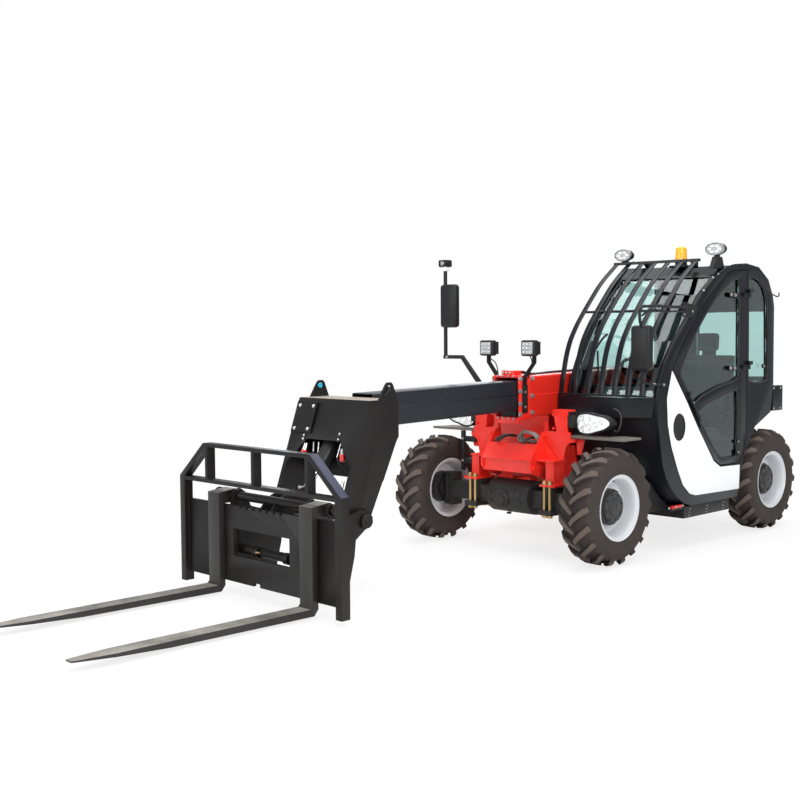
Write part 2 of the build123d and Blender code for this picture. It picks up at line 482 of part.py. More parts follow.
def axle(s, name, top_pads):
    with BuildPart() as beam:
        cross_bar(s, AXLE_Z, HOUSING_R, -HOUSING_HALF, HOUSING_HALF, sides=20)
        # drive boss on the front of the housing
        with BuildSketch(at_s(s - HOUSING_R + 12)):
            with Locations((-44, AXLE_Z - 18)):
                RegularPolygon(42, 16)
        extrude(amount=34)
        for side, _ in SIDES:
            block(sorted((side * (HOUSING_HALF - 10), side * 580)), (s - 62, s + 62), (AXLE_Z - 58, AXLE_Z + 58))
            block(sorted((side * 570, side * 586)), (s - 55, s + 55), (AXLE_Z - 118, AXLE_Z + 118))
            for z0 in (AXLE_Z - YOKE_HALF - YOKE_T, AXLE_Z + YOKE_HALF):
                block(sorted((side * 580, side * KINGPIN_X)), (s - 45, s + 45), (z0, z0 + YOKE_T))
                upright(side * KINGPIN_X, s, z0, z0 + YOKE_T, 45, sides=8)
                upright(side * KINGPIN_X, s, z0 - 1, z0 + YOKE_T + 1, KING_R + RUNNING, mode=Mode.SUBTRACT)
            if top_pads:
                block(sorted((side * 280, side * 386)), (s - 62, s + 62), (AXLE_Z + 50, FOOT_Z - SEAT))
        if not top_pads:
            block((-90, 90), (s - 90, s + 90), (AXLE_Z + 60, 520 - SEAT))
    save(beam, name)


axle(0, "front_axle", True)
axle(REAR_AXLE_S, "rear_axle", False)

with BuildPart() as axle_studs:
    for side, _ in SIDES:
        for x in STUDS_X:
            for s in (-STUDS_S, STUDS_S):
                upright(side * x, s, 268, FOOT_Z + FOOT_T + 28, 11, sides=10)
                upright(side * x, s, FOOT_Z + FOOT_T, FOOT_Z + FOOT_T + 16, 19, sides=6)
                upright(side * x, s, 272, 289, 19, sides=6)
        block(sorted((side * 280, side * 386)), (-105, 105), (288, AXLE_Z - 58 - SEAT))
save(axle_studs, "axle_studs")

for s, end in AXLES:
    for side, hand in SIDES:
        with BuildPart() as knuckle:
            upright(side * KINGPIN_X, s, AXLE_Z - YOKE_HALF + 1, AXLE_Z + YOKE_HALF - 1, 44, sides=8)
            upright(side * KINGPIN_X, s, AXLE_Z - YOKE_HALF - YOKE_T + 2, AXLE_Z + YOKE_HALF + YOKE_T - 2, KING_R)
            cross_bar(s, AXLE_Z, SPINDLE_R, side * KINGPIN_X, side * (WHEEL_X + HUB_OUT - 20))
            cross_bar(s, AXLE_Z, 70, side * (KINGPIN_X + 30), side * (WHEEL_X + HUB_IN - 1), sides=16)
        save(knuckle, f"knuckle_{end}{hand}")

WHEEL_SIDES = 28                        # the wheels are cut as many-sided rings
BEAD_R = 196.0                          # where the tyre sits on its rim
RIM_FLANGE_R, RIM_BED_R, RIM_HALF = 215.0, BEAD_R - SEAT, 112.0
# closed ring sections as (outwards along the axle, radius)
RIM_RING = [(-RIM_HALF, RIM_FLANGE_R), (-RIM_HALF + 9, RIM_BED_R), (RIM_HALF - 9, RIM_BED_R), (RIM_HALF, RIM_FLANGE_R), (RIM_HALF, 187),
            (0, 172), (0, 105), (-10, 105), (-10, 172), (-RIM_HALF, 187)]
TYRE_RING = [(-92, BEAD_R), (92, BEAD_R), (117, 226), (124, 290), (100, 342), (-100, 342), (-124, 290), (-117, 226)]
LUG_COUNT, LUG_ANGLE = 18, 38.0
LUG_HALF_T = 14.0
LUG_PROFILE = [(-12, 330), (-12, TYRE_R), (92, TYRE_R - 6.4), (146, 338), (140, 308)]


def ring(section, sides):
    """Many-sided ring about the X axis from a closed (along, apothem) section."""
    def corner(point, k):
        r, turn = point[1] / cos(pi / sides), 2 * pi * (k + 0.5) / sides
        return Vector(point[0], r * sin(turn), r * cos(turn))
    faces = []
    for a, b in zip(section, section[1:] + section[:1]):
        if a[0] == b[0]:                # a flat end is one face with a hole
            outer, inner = max(a[1], b[1]), min(a[1], b[1])
            loops = [Wire.make_polygon([corner((a[0], r), k) for k in range(sides)], close=True) for r in (outer, inner)]
            faces.append(Face(loops[0], [loops[1]]))
        else:
            for k in range(sides):
                faces.append(Face(Wire.make_polygon([corner(a, k), corner(b, k), corner(b, k + 1), corner(a, k + 1)], close=True)))
    body = Solid(Shell(faces))
    return body.fix()


with BuildPart() as lug:
    with BuildSketch(Plane.XZ.offset(-LUG_HALF_T)):
        with BuildLine():
            Polyline(*LUG_PROFILE, close=True)
        make_face()
    extrude(amount=2 * LUG_HALF_T)

with BuildPart() as tyre_model:
    add(ring(TYRE_RING, WHEEL_SIDES))
    bars = []
    for mirror_side, start in ((1, 0.0), (-1, 180.0 / LUG_COUNT)):
        for k in range(LUG_COUNT):
            bar = Rot(0, 0, LUG_ANGLE) * lug.part
            if mirror_side < 0:
                bar = mirror(bar, about=Plane.YZ)
            bars.append(Rot(start + k * 360.0 / LUG_COUNT, 0, 0) * bar)
    add(bars)

rim_ring = ring(RIM_RING, WHEEL_SIDES)

for s, end in AXLES:
    for side, hand in SIDES:
        with BuildPart() as rim:
            place = Pos(side * WHEEL_X, FRONT_AXLE_Y + s, AXLE_Z)
            add(place * (rim_ring if side > 0 else Rot(0, 0, 180) * rim_ring))
            cross_bar(s, AXLE_Z, 112, side * (WHEEL_X + HUB_IN), side * (WHEEL_X + 40), sides=24)
            cross_bar(s, AXLE_Z, 98, side * (WHEEL_X + 35), side * (WHEEL_X + HUB_OUT - 8), sides=24)
            cross_bar(s, AXLE_Z, 56, side * (WHEEL_X + HUB_OUT - 12), side * (WHEEL_X + HUB_OUT), sides=16)
            cross_bar(s, AXLE_Z, SPINDLE_R + RUNNING, side * (WHEEL_X + HUB_IN - 1), side * (WHEEL_X + HUB_OUT - 18), mode=Mode.SUBTRACT)
        save(rim, f"rim_{end}{hand}")
        with BuildPart() as tyre:
            add(place * tyre_model.part)
        save(tyre, f"tyre_{end}{hand}")

# ------------------------------------------------------------ cab shell
BACK = REAR_AXLE_S + 46.0               # rear wall of the cab
# Outlines of the cab's near and far side. The front stands further forward beside the boom,
# so each pair of points lies at one height and the front is drawn straight between them.
CAB_NEAR = [(1500, CAB_SILL_Z), (880, CAB_SILL_Z), (790, 322), (700, 372), (620, 440), (560, 520), (518, 610), (500, 700), (458, 930),
            (476, 1107), (544, 1261), (685, 1436), (852, 1595), (1008, 1758), (1210, 1900), (1390, 1974), (1593, 1998),
            (BACK - 236, 1976), (BACK - 90, 1887), (BACK - 21, 1767), (BACK, 1690), (BACK, 1110), (BACK - 37, 894), (BACK - 272, 795),
            (BACK - 439, 591)]
CAB_FAR_FRONT = [395, 427, 480, 583, 690, 852, 1010, 1105]
CAB_FAR = CAB_NEAR[:8] + [(s, near[1]) for s, near in zip(CAB_FAR_FRONT, CAB_NEAR[8:16])] + CAB_NEAR[16:]
DOOR_OPENING = [(1622, 1952), (1400, 1944), (1330, 1916), (1205, 1830), (1083, 1746), (978, 1664), (884, 1567), (790, 1470),
                (705, 1366), (634, 1255), (812, 1030), (966, 826), (1165, 594), (1255, 546), (1532, 539),
                (1579, 596), (1622, 655)]
QUARTER_GLASS = [(1646, 1902), (BACK - 237, 1886), (BACK - 145, 1825), (BACK - 104, 1737), (BACK - 90, 1132), (1652, 1128)]
FAR_GLASS = [(1480, 1890), (1130, 1874), (990, 1790), (880, 1680), (775, 1560), (670, 1420), (600, 1290), (570, 1130), (1480, 1100)]
SCREEN_Z = (1062.0, 1886.0)
SCREEN_X = (CAB_IN_X + 45, CAB_OUT_X - 45)
REAR_GLASS_X, REAR_GLASS_Z = (CAB_IN_X + 60, CAB_OUT_X - 60), (1150, 1660)
SHELL_X = (CAB_IN_X + 4, CAB_OUT_X)
COWL_Z = (930.0, SCREEN_Z[0])


def prism(points, x0, x1, grow=0.0, mode=Mode.ADD):
    """Side-view prism whose outline is grown (or shrunk) evenly."""
    with BuildSketch(at_x(x0)) as outline:
        with BuildLine():
            Polyline(*side_points(points), close=True)
        make_face()
        if grow:
            offset(amount=grow, mode=Mode.REPLACE, kind=Kind.INTERSECTION)
    extrude(outline.sketch, amount=x1 - x0, mode=mode)


def inset(points, depth):
    """Corner points of a clockwise outline moved evenly inwards."""
    moved = []
    for before, here, after in zip(points[-1:] + points[:-1], points, points[1:] + points[:1]):
        a, b = (Vector(*here) - Vector(*before)).normalized(), (Vector(*after) - Vector(*here)).normalized()
        inward = Vector(a.Y + b.Y, -a.X - b.X).normalized()
        reach = depth / inward.dot(Vector(a.Y, -a.X))
        moved.append((here[0] + inward.X * reach, here[1] + inward.Y * reach))
    return moved


def spanned(far_points, near_points, x0, x1, mode=Mode.ADD):
    """Solid drawn straight from a side-view outline at x0 to one at x1."""
    sections = []
    for x, points in ((x0, far_points), (x1, near_points)):
        with BuildSketch(at_x(x)) as section:
            with BuildLine():
                Polyline(*side_points(points), close=True)
            make_face()
        sections.append(section.sketch)
    loft(sections=sections, ruled=True, mode=mode)


def front_s(x, z):
    """Station of the cab's front at a place across the machine and a height."""
    across = (x - SHELL_X[0]) / (SHELL_X[1] - SHELL_X[0])
    rows = [(far[0] + across * (near[0] - far[0]), near[1]) for far, near in zip(CAB_FAR[7:17], CAB_NEAR[7:17])]
    for (s0, z0), (s1, z1) in zip(rows, rows[1:]):
        if z0 <= z <= z1:
            return s0 + (s1 - s0) * (z - z0) / (z1 - z0)


def roof_z(x, s):
    """Height of the roof's sloping front part."""
    z = CAB_NEAR[14][1]
    while z < CAB_NEAR[16][1] and front_s(x, z) < s:
        z += 0.5
    return z


with BuildPart() as cab_shell:
    spanned(CAB_FAR, CAB_NEAR, *SHELL_X)
    # cowl below the windscreen, open underneath
    with BuildSketch(at_z(COWL_Z[0])) as cowl:
        with BuildLine():
            Polyline(*[(x, FRONT_AXLE_Y + s) for x, s in ((SHELL_X[0], 300), (640, 318), (CAB_OUT_X - 4, 492), (CAB_OUT_X - 4, 520),
                                                         (SHELL_X[0], 450))], close=True)
        make_face()
    extrude(cowl.sketch, amount=COWL_Z[1] - COWL_Z[0])
    with BuildSketch(at_z(COWL_Z[0] - 5)) as hollow:
        with BuildLine():
            Polyline(*[(x, FRONT_AXLE_Y + s) for x, s in ((SHELL_X[0] + 12, 312), (632, 330), (742, 430), (SHELL_X[0] + 12, 380))], close=True)
        make_face()
    extrude(hollow.sketch, amount=COWL_Z[1] - COWL_Z[0] - 7, mode=Mode.SUBTRACT)
    spanned(inset(CAB_FAR, CAB_WALL), inset(CAB_NEAR, CAB_WALL), SHELL_X[0] + CAB_WALL, SHELL_X[1] - CAB_WALL, mode=Mode.SUBTRACT)
    # door opening, quarter light and the window beside the boom
    prism(DOOR_OPENING, SHELL_X[1] - CAB_WALL - 5, SHELL_X[1] + 5, mode=Mode.SUBTRACT)
    prism(QUARTER_GLASS, SHELL_X[1] - CAB_WALL - 5, SHELL_X[1] + 5, mode=Mode.SUBTRACT)
    prism(FAR_GLASS, SHELL_X[0] - 5, SHELL_X[0] + CAB_WALL + 5, mode=Mode.SUBTRACT)
    # windscreen and rear window, cut along the machine
    block(SCREEN_X, (300, 1270), SCREEN_Z, mode=Mode.SUBTRACT)
    block(REAR_GLASS_X, (BACK - 62, BACK + 38), REAR_GLASS_Z, mode=Mode.SUBTRACT)
    block((520, 760), (BACK - 32, BACK + 4 - SEAT), (940, 1060))
    # hinge knuckle pads behind the door
    for z0 in HINGE_ZS:
        block((SHELL_X[1] - 4, DOOR_HINGE_X - 9.5), (DOOR_HINGE_S - 4, DOOR_HINGE_S + 44), (z0 + 32, z0 + 60))
        upright(DOOR_HINGE_X, DOOR_HINGE_S, z0 + 32, z0 + 60, 9)
        block((DOOR_HINGE_X - 9.5, DOOR_HINGE_X + 4), (DOOR_HINGE_S, DOOR_HINGE_S + 44), (z0 + 32, z0 + 60))
save(cab_shell, "cab_shell")

# ------------------------------------------------------------ windscreen and panes
with BuildPart() as windscreen:
    heights = [SCREEN_Z[0] + SEAT] + [z for _, z in CAB_NEAR[9:14]] + [SCREEN_Z[1] - SEAT]
    lines = []
    for x in (SCREEN_X[0] + SEAT, SCREEN_X[1] - SEAT):
        lines.append([(front_s(x, z) + 10, z) for z in heights] + [(front_s(x, z) + 18, z) for z in reversed(heights)])
    spanned(*lines, SCREEN_X[0] + SEAT, SCREEN_X[1] - SEAT)
save(windscreen, "windscreen")

with BuildPart() as cab_panes:
    prism(QUARTER_GLASS, SHELL_X[1] - 20, SHELL_X[1] - 20 + GLASS, grow=-SEAT)
    prism(FAR_GLASS, SHELL_X[0] + 14, SHELL_X[0] + 14 + GLASS, grow=-SEAT)
    block((REAR_GLASS_X[0] + SEAT, REAR_GLASS_X[1] - SEAT), (BACK - 22, BACK - 22 + GLASS), (REAR_GLASS_Z[0] + SEAT, REAR_GLASS_Z[1] - SEAT))
save(cab_panes, "cab_panes")

# ------------------------------------------------------------ door
DOOR_X = (CAB_OUT_X - CAB_WALL + 1, CAB_OUT_X)
DOOR_GAP = 6.0
UPPER_GLASS = [(1512, 1880), (1412, 1866), (1290, 1798), (1170, 1713), (1060, 1620), (985, 1546), (880, 1425), (790, 1310),
               (735, 1215), (860, 1060), (904, 1004), (1017, 1052), (1211, 1105), (1512, 1163)]
LOWER_GLASS = [(1506, 1078), (1300, 1047), (1094, 1000), (958, 938), (1010, 870), (1185, 665), (1265, 603), (1500, 596)]
with BuildPart() as door_frame:
    prism(DOOR_OPENING, *DOOR_X, grow=-DOOR_GAP)
    for glass in (UPPER_GLASS, LOWER_GLASS):
        prism(glass, DOOR_X[0] - 5, DOOR_X[1] + 5, mode=Mode.SUBTRACT)
    for z0 in HINGE_ZS:
        upright(DOOR_HINGE_X, DOOR_HINGE_S, z0, z0 + 31.5, 9)
        block((DOOR_X[1] - 3, DOOR_HINGE_X + 4), (DOOR_HINGE_S - 95, DOOR_HINGE_S - 18), (z0, z0 + 31.5))
        block((DOOR_X[1] + 1.5, DOOR_HINGE_X + 4), (DOOR_HINGE_S - 20, DOOR_HINGE_S), (z0, z0 + 31.5))
    # handle and its lock box on the slanted front rail
    side_plate([(838, 1026), (852, 1038), (1000, 848), (986, 834)], DOOR_X[1] - 2, DOOR_X[1] + 14)
save(door_frame, "door_frame")

with BuildPart() as door_glass:
    for glass in (UPPER_GLASS, LOWER_GLASS):
        prism(glass, DOOR_X[1] - 20, DOOR_X[1] - 20 + GLASS, grow=-SEAT)
save(door_glass, "door_glass")

# ------------------------------------------------------------ cab outside: white panel, guard, mirrors
PANEL = [(622, 1238), (563, 1056), (574, 878), (617, 730), (700, 560), (764, 452), (847, 386), (923, 366), (1512, 354), (1520, 530),
         (1250, 537), (1158, 586), (960, 820), (806, 1020)]
with BuildPart() as cab_side_panel:
    prism(PANEL, CAB_OUT_X + SEAT, CAB_OUT_X + 8)
save(cab_side_panel, "cab_side_panel")

# line of the guard beside the boom; it steps back towards the near side
GUARD_LINE = [(322, 1075), (350, 1220), (408, 1409), (572, 1636), (690, 1760), (781, 1850), (980, 2000)]
GUARD_BARS, GUARD_X, GUARD_BAR_W, GUARD_SWEEP = 7, (115.0, 776.0), 28.0, 64.0
GUARD_TOP_Z = 2012.0


def guard_s(x):
    return GUARD_SWEEP * (x - GUARD_X[0]) / (GUARD_X[1] - GUARD_X[0])


with BuildPart() as windscreen_guard:
    pitch = (GUARD_X[1] - GUARD_X[0] - GUARD_BAR_W) / (GUARD_BARS - 1)
    for k in range(GUARD_BARS):
        x0 = GUARD_X[0] + k * pitch
        back = guard_s(x0)
        side_plate([(s + back, z) for s, z in GUARD_LINE] + [(s + back + 8, z - 5) for s, z in GUARD_LINE[::-1]], x0, x0 + GUARD_BAR_W)
    # bottom and top rails and a middle rod, all swept like the bars
    for ds, dz, width, height in ((0, 1068, 28, 13), (978, GUARD_TOP_Z - 19, 34, 19)):
        with BuildSketch(at_z(dz)) as rail:
            with BuildLine():
                Polyline(*[(x, FRONT_AXLE_Y + s) for x, s in (
                    (GUARD_X[0], ds + (320 if ds == 0 else 0)), (GUARD_X[1], ds + (320 if ds == 0 else 0) + GUARD_SWEEP),
                    (GUARD_X[1], ds + (320 if ds == 0 else 0) + GUARD_SWEEP + width), (GUARD_X[0], ds + (320 if ds == 0 else 0) + width))],
                    close=True)
            make_face()
        extrude(rail.sketch, amount=height)
    slanted_bar((GUARD_X[0], 588, 1646), (GUARD_X[1], 588 + GUARD_SWEEP, 1646), 10)
    for x0 in (230, 620):
        foot = 324 + guard_s(x0)
        block((x0, x0 + 34), (foot, foot + 30), (COWL_Z[1] + SEAT, 1072))
        # top brackets reach back over the roof's front
        back = 980 + guard_s(x0)
        rest = roof_z(x0, 1250) + SEAT
        side_plate([(back, GUARD_TOP_Z), (1190, GUARD_TOP_Z + 4), (1250, GUARD_TOP_Z), (1250, rest), (1232, rest),
                    (1190, GUARD_TOP_Z - 8), (back, GUARD_TOP_Z - 14)], x0, x0 + 34)
save(windscreen_guard, "windscreen_guard")

with BuildPart() as mirrors:
    # near mirror: plate on the front pillar, tube forward and down, a lower stay
    side_plate([(752, 1603), (752, 1703), (995, 1703), (930, 1643), (893, 1603)], CAB_OUT_X + SEAT, CAB_OUT_X + 6)
    slanted_bar((843, 790, 1667), (836, 235, 1667), 11)
    block((CAB_OUT_X + 4, 846), (760, 800), (1656, 1678))
    slanted_bar((836, 245, 1667), (800, 325, 1535), 11)
    rounded_box((722, 872), (298, 362), (1245, 1545), 26)
    slanted_bar((800, 330, 1255), (805, 345, 1165), 11)
    slanted_bar((805, 340, 1167), (842, 500, 1150), 9)
    side_plate([(488, 1136), (488, 1164), (545, 1164), (545, 1136)], CAB_OUT_X + SEAT, 846)
    # far mirror on a pole from the right lamp upright
    front_plate([(-360, 1005), (-395, 1005), (-395, 1130), (-560, 1318), (-735, 1318), (-735, 1345), (-548, 1345), (-360, 1142)],
                48, 70)
    upright(-721, 60, 1331, 1960, 16, sides=8)
    block((-764, -678), (17, 103), (1955, 2040))
    rounded_box((-755, -600), (28, 92), (1545, 1860), 26)
    block((-395, -360), (40, 117), (UPRIGHT_TOP + SEAT, 1010))
save(mirrors, "mirrors")

with BuildPart() as roof_lights:
    # near work lamp over the door, far one on the guard's top rail, beacon between them
    for x, s, z, half_w, half_h, floor in ((786, 1279, 2087, 80, 47, roof_z(771, 1298) + SEAT), (200, 1003, 2061, 75, 44, GUARD_TOP_Z + SEAT)):
        rounded_box((x - half_w, x + half_w), (s - 42, s + 42), (z - half_h, z + half_h), 32)
        block((x - 15, x + 15), (s - 19, s + 19), (floor, z - half_h + 5))
    base = roof_z(450, 1290) + SEAT
    block((450, 590), (1180, 1290), (base, base + 12))
    upright(520, 1235, base + 10, 2020, 44, sides=16)
    upright(520, 1235, 2018, 2117, 38, sides=16)
save(roof_lights, "roof_lights")

# ------------------------------------------------------------ inside the cab
with BuildPart() as seat:
    block((350, 640), (1180, 1540), (640, 700))
    side_plate([(1130, 700), (1590, 700), (1690, 1330), (1590, 1330), (1480, 800), (1130, 820)], 260, 730)
    side_plate([(1612, 1325), (1688, 1325), (1700, 1520), (1630, 1520)], 400, 590)
    block((420, 570), (1200, 1470), (CAB_SILL_Z + CAB_WALL + SEAT, 645))
save(seat, "seat")

with BuildPart() as dashboard:
    side_plate([(560, 700), (640, 640), (760, 900), (790, 1060), (700, 1120), (560, 1050)], 200, 720)
    with BuildSketch(Plane(origin=(480, FRONT_AXLE_Y + 700, 1060), x_dir=(1, 0, 0), z_dir=(0, 0.62, 0.78))):
        RegularPolygon(22, 12)
    extrude(amount=190)
    wheel_plane = Plane(origin=(480, FRONT_AXLE_Y + 700 + 0.62 * 190, 1060 + 0.78 * 190), x_dir=(1, 0, 0), z_dir=(0, 0.62, 0.78))
    with BuildSketch(wheel_plane):
        RegularPolygon(175, 24)
        RegularPolygon(150, 24, mode=Mode.SUBTRACT)
    extrude(amount=22)
    with BuildSketch(wheel_plane):
        Rectangle(310, 34)
        Rectangle(34, 310)
        RegularPolygon(45, 12)
    extrude(amount=12)
    # column that stands on the cab's curved toe board
    toe = inset(CAB_NEAR, CAB_WALL + SEAT)[2:5]
    side_plate([(640, 700), (toe[2][0] + 0.2 * (toe[1][0] - toe[2][0]), toe[2][1] + 0.2 * (toe[1][1] - toe[2][1])), toe[1],
                (toe[1][0] + 0.3 * (toe[0][0] - toe[1][0]), toe[1][1] + 0.3 * (toe[0][1] - toe[1][1])), (780, 900)], 440, 520)
save(dashboard, "dashboard")

# ------------------------------------------------------------ engine side
BAY_X, BAY_S, BAY_WALL = (-802.0, -138.0), (520.0, 1500.0), 10.0
HOOD_OUTLINE = [(-150, 1086), (-480, 1086), (-640, 1040), (-800, 950), (-800, 898 + SEAT)]
HOOD_END = [(-162, 1086), (-480, 1086), (-640, 1040), (-800, 950), (-800, 898 + SEAT), (-162, 898 + SEAT)]
DECK_END = REAR_AXLE_S + 64.0
HOOD_HINGE_X, HOOD_HINGE_Z, HOOD_HINGE_R = -152.0, 1085.0, 9.0
with BuildPart() as engine_bay:
    block(BAY_X, BAY_S, (300, 310))
    block((BAY_X[0], BAY_X[0] + BAY_WALL), BAY_S, (300, 898))
    block(BAY_X, (BAY_S[0], BAY_S[0] + BAY_WALL), (300, 898))
    block(BAY_X, (BAY_S[1] - BAY_WALL, BAY_S[1]), (300, 898))
    block((BAY_X[1] - BAY_WALL, BAY_X[1]), BAY_S, (300, 898))
    block((BAY_X[1] - 10, BAY_X[1]), (BAY_S[0], DECK_END), (886, 1066))
    block(BAY_X, (BAY_S[1] - BAY_WALL, DECK_END), (886, 898))
    # step under the side
    block((-830, -700), (800, 1380), (236, 248))
    for s0 in (800, 1368):
        block((-830, -700), (s0, s0 + 12), (236, 302))
save(engine_bay, "engine_bay")

with BuildPart() as engine_hood:
    front_plate(HOOD_OUTLINE[:4] + [(-800, 898 + SEAT), (-788, 898 + SEAT), (-788, 943), (-635, 1029), (-478, 1074), (-150, 1074)], BAY_S[0], DECK_END)
    front_plate(HOOD_END, BAY_S[0], BAY_S[0] + 12)
    front_plate(HOOD_END, DECK_END - 12, DECK_END)
    # hinge barrels along the inner edge
    for s0 in (BAY_S[0] + 60, DECK_END - 260):
        with BuildSketch(at_s(s0 + 200)) as barrel:
            with Locations((HOOD_HINGE_X, HOOD_HINGE_Z)):
                Circle(HOOD_HINGE_R)
        extrude(barrel.sketch, amount=200)
save(engine_hood, "engine_hood")

with BuildPart() as engine_block:
    block((-600, -250), (900, 1430), (420, 760))
    block((-540, -310), (930, 1380), (755, 880))
    block((-560, -290), (1428, 1470), (440, 700))
    block((-700, -200), (620, 700), (330, 850))
    with BuildSketch(at_s(905)):
        with Locations((-425, 600)):
            RegularPolygon(170, 20)
    extrude(amount=60)
    for s0 in (960, 1340):
        block((-620, -230), (s0, s0 + 50), (310 + SEAT, 430))
    for x0 in (-690, -250):
        block((x0, x0 + 40), (630, 690), (310 + SEAT, 340))
save(engine_block, "engine_block")

EXHAUST_S = REAR_AXLE_S + 324.0
with BuildPart() as exhaust:
    cross_bar(EXHAUST_S, 965, 68, -410, -160, sides=20)
    for x0 in (-390, -210):
        block((x0, x0 + 24), (EXHAUST_S - 38, EXHAUST_S + 38), (880 + SEAT, 915))
    upright(-360, EXHAUST_S, 1020, 1180, 26, sides=16)
save(exhaust, "exhaust")

with BuildPart() as tail_box:
    block((450, 826), (BACK + 4, BACK + 156), (898, 1088))
save(tail_box, "tail_box")

with BuildPart() as step_box:
    block((452, 826), (790, 1390), (216, 297.7))
    block((440.3, 456), (866, 934), (240, 290))
    block((440.3, 456), (1306, 1374), (240, 290))
save(step_box, "step_box")

# ------------------------------------------------------------ front fenders, lamps, boom lamps
with BuildPart() as fenders:
    for side, _ in SIDES:
        x0, x1 = WING_S[1] + SEAT, 168
        side_plate([(x0, 800), (x0, 816), (x1, 812), (x1 + 14, 800), (x1 - 4, 802)], side * 392, side * 847)
        # the broader outer end
        with BuildSketch(at_z(801)) as tip:
            with BuildLine():
                Polyline(*[(side * x, FRONT_AXLE_Y + s) for x, s in ((660, 60), (673, 30), (825, 30), (847, 52), (847, 240), (820, 262),
                                                                   (690, 262), (660, 200))], close=True)
            make_face()
        extrude(tip.sketch, amount=12)
save(fenders, "fenders")

LAMP_FACE = [(450, 972), (454, 835), (540, 824), (700, 868), (734, 910), (707, 952)]
with BuildPart() as headlamps:
    for side, _ in SIDES:
        front_plate([(side * x, z) for x, z in LAMP_FACE], 72, 150)
        block(sorted((side * 380, side * 458)), (WING_S[1] + SEAT, 84), (870, 950))
save(headlamps, "headlamps")

with BuildPart() as boom_lamps:
    grip = COLLAR_W / 2 + SEAT
    for side, _ in SIDES:
        front_plate([(side * grip, 960), (side * (grip + 6), 960), (side * (grip + 6), 1200), (side * (grip + 89), 1300),
                     (side * (grip + 89), 1345), (side * (grip + 82), 1345), (side * (grip + 82), 1303), (side * grip, 1206)], -70, -30)
        block(sorted((side * grip, side * (grip + 10))), (-75, -25), (960, 1150))
        rounded_box(sorted((side * (grip - 4), side * (grip + 142))), (-110, -20), (1342, 1455), 30)
save(boom_lamps, "boom_lamps")
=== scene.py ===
# %% [markdown]
# A compact telehandler stands on a pale studio floor. Its rigid parts arrive as a packed
# frame of CAD nodes, each riding on a moving body. This file dresses that frame: every node
# gets a finish, machined edges get a small round, and the parts too small for the frame,
# such as bolts, hoses, lenses and wiper arms, are modelled here.

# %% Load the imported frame
import bpy, bmesh, json
from math import cos, sin, pi, radians, atan2, hypot, sqrt
from mathutils import Matrix, Vector

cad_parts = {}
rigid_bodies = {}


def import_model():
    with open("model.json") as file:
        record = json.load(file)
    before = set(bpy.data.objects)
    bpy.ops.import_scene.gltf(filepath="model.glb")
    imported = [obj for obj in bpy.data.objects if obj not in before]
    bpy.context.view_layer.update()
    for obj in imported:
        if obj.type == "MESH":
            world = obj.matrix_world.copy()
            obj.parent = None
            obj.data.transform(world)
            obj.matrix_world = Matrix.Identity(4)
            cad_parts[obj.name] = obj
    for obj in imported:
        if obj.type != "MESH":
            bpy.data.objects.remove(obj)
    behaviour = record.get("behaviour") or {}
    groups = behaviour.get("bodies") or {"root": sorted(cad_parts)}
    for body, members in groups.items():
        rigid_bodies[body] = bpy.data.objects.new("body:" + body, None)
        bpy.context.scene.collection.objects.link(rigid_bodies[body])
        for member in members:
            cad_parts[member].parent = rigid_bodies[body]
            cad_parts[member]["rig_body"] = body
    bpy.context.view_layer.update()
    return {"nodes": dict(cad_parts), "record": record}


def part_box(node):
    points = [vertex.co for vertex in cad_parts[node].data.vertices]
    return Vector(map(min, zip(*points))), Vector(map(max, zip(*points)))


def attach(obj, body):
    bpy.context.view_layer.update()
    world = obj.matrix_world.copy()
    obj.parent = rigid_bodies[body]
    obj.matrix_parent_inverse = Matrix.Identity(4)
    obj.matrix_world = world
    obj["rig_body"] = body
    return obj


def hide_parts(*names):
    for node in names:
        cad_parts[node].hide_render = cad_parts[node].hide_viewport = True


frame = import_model()
nodes = frame["nodes"]
scene = bpy.context.scene
scene.view_settings.view_transform = "Standard"

# %% [markdown]
# Heights and distances on the machine are easiest to read as millimetres: x to the machine's
# left, s behind the front axle and z above the ground. One small function turns such a triple
# into the frame's metres. The front axle's place is read from its own node, so that nothing
# shifts if the frame does.

# %% Machine coordinates
low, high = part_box("front_axle")
FRONT_AXLE_Y = (low.y + high.y) / 2
low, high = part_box("rear_axle")
WHEELBASE = (low.y + high.y) / 2 - FRONT_AXLE_Y


def mm(x, s, z):
    return Vector((x / 1000, FRONT_AXLE_Y + s / 1000, z / 1000))


print("front axle at y", round(FRONT_AXLE_Y, 4), "wheelbase", round(WHEELBASE, 4))

# %% [markdown]
# The camera stands at the height of a standing person, off the machine's left front corner,
# with a short telephoto lens. Its axes are worked out from three angles: the bearing round
# the machine, the slight look downwards and a hair of roll.

# %% Camera
azimuth, elevation, roll = radians(45.94), radians(3.21), radians(-0.42)
camera_data = bpy.data.cameras.new("camera")
camera = bpy.data.objects.new("camera", camera_data)
scene.collection.objects.link(camera)
back = Vector((sin(azimuth) * cos(elevation), -cos(azimuth) * cos(elevation), sin(elevation)))
right = Vector((cos(azimuth), sin(azimuth), 0))
up = back.cross(right)
tilted_right = right * cos(roll) + up * sin(roll)
tilted_up = up * cos(roll) - right * sin(roll)
place = mm(5029.5, -5976.7, 1482.9)
camera.matrix_world = Matrix(((tilted_right.x, tilted_up.x, back.x, place.x),
                              (tilted_right.y, tilted_up.y, back.y, place.y),
                              (tilted_right.z, tilted_up.z, back.z, place.z),
                              (0, 0, 0, 1)))
camera_data.lens = 50.94
camera_data.sensor_width = 36
camera_data.clip_end = 200
scene.camera = camera
print("camera at", [round(v, 3) for v in place])

# %% [markdown]
# The sky of a bright overcast day wraps the machine in even light, stronger from above. The
# camera and mirror-like surfaces see the background as plain white, while the paint receives a
# calmer level, so colours keep their depth.

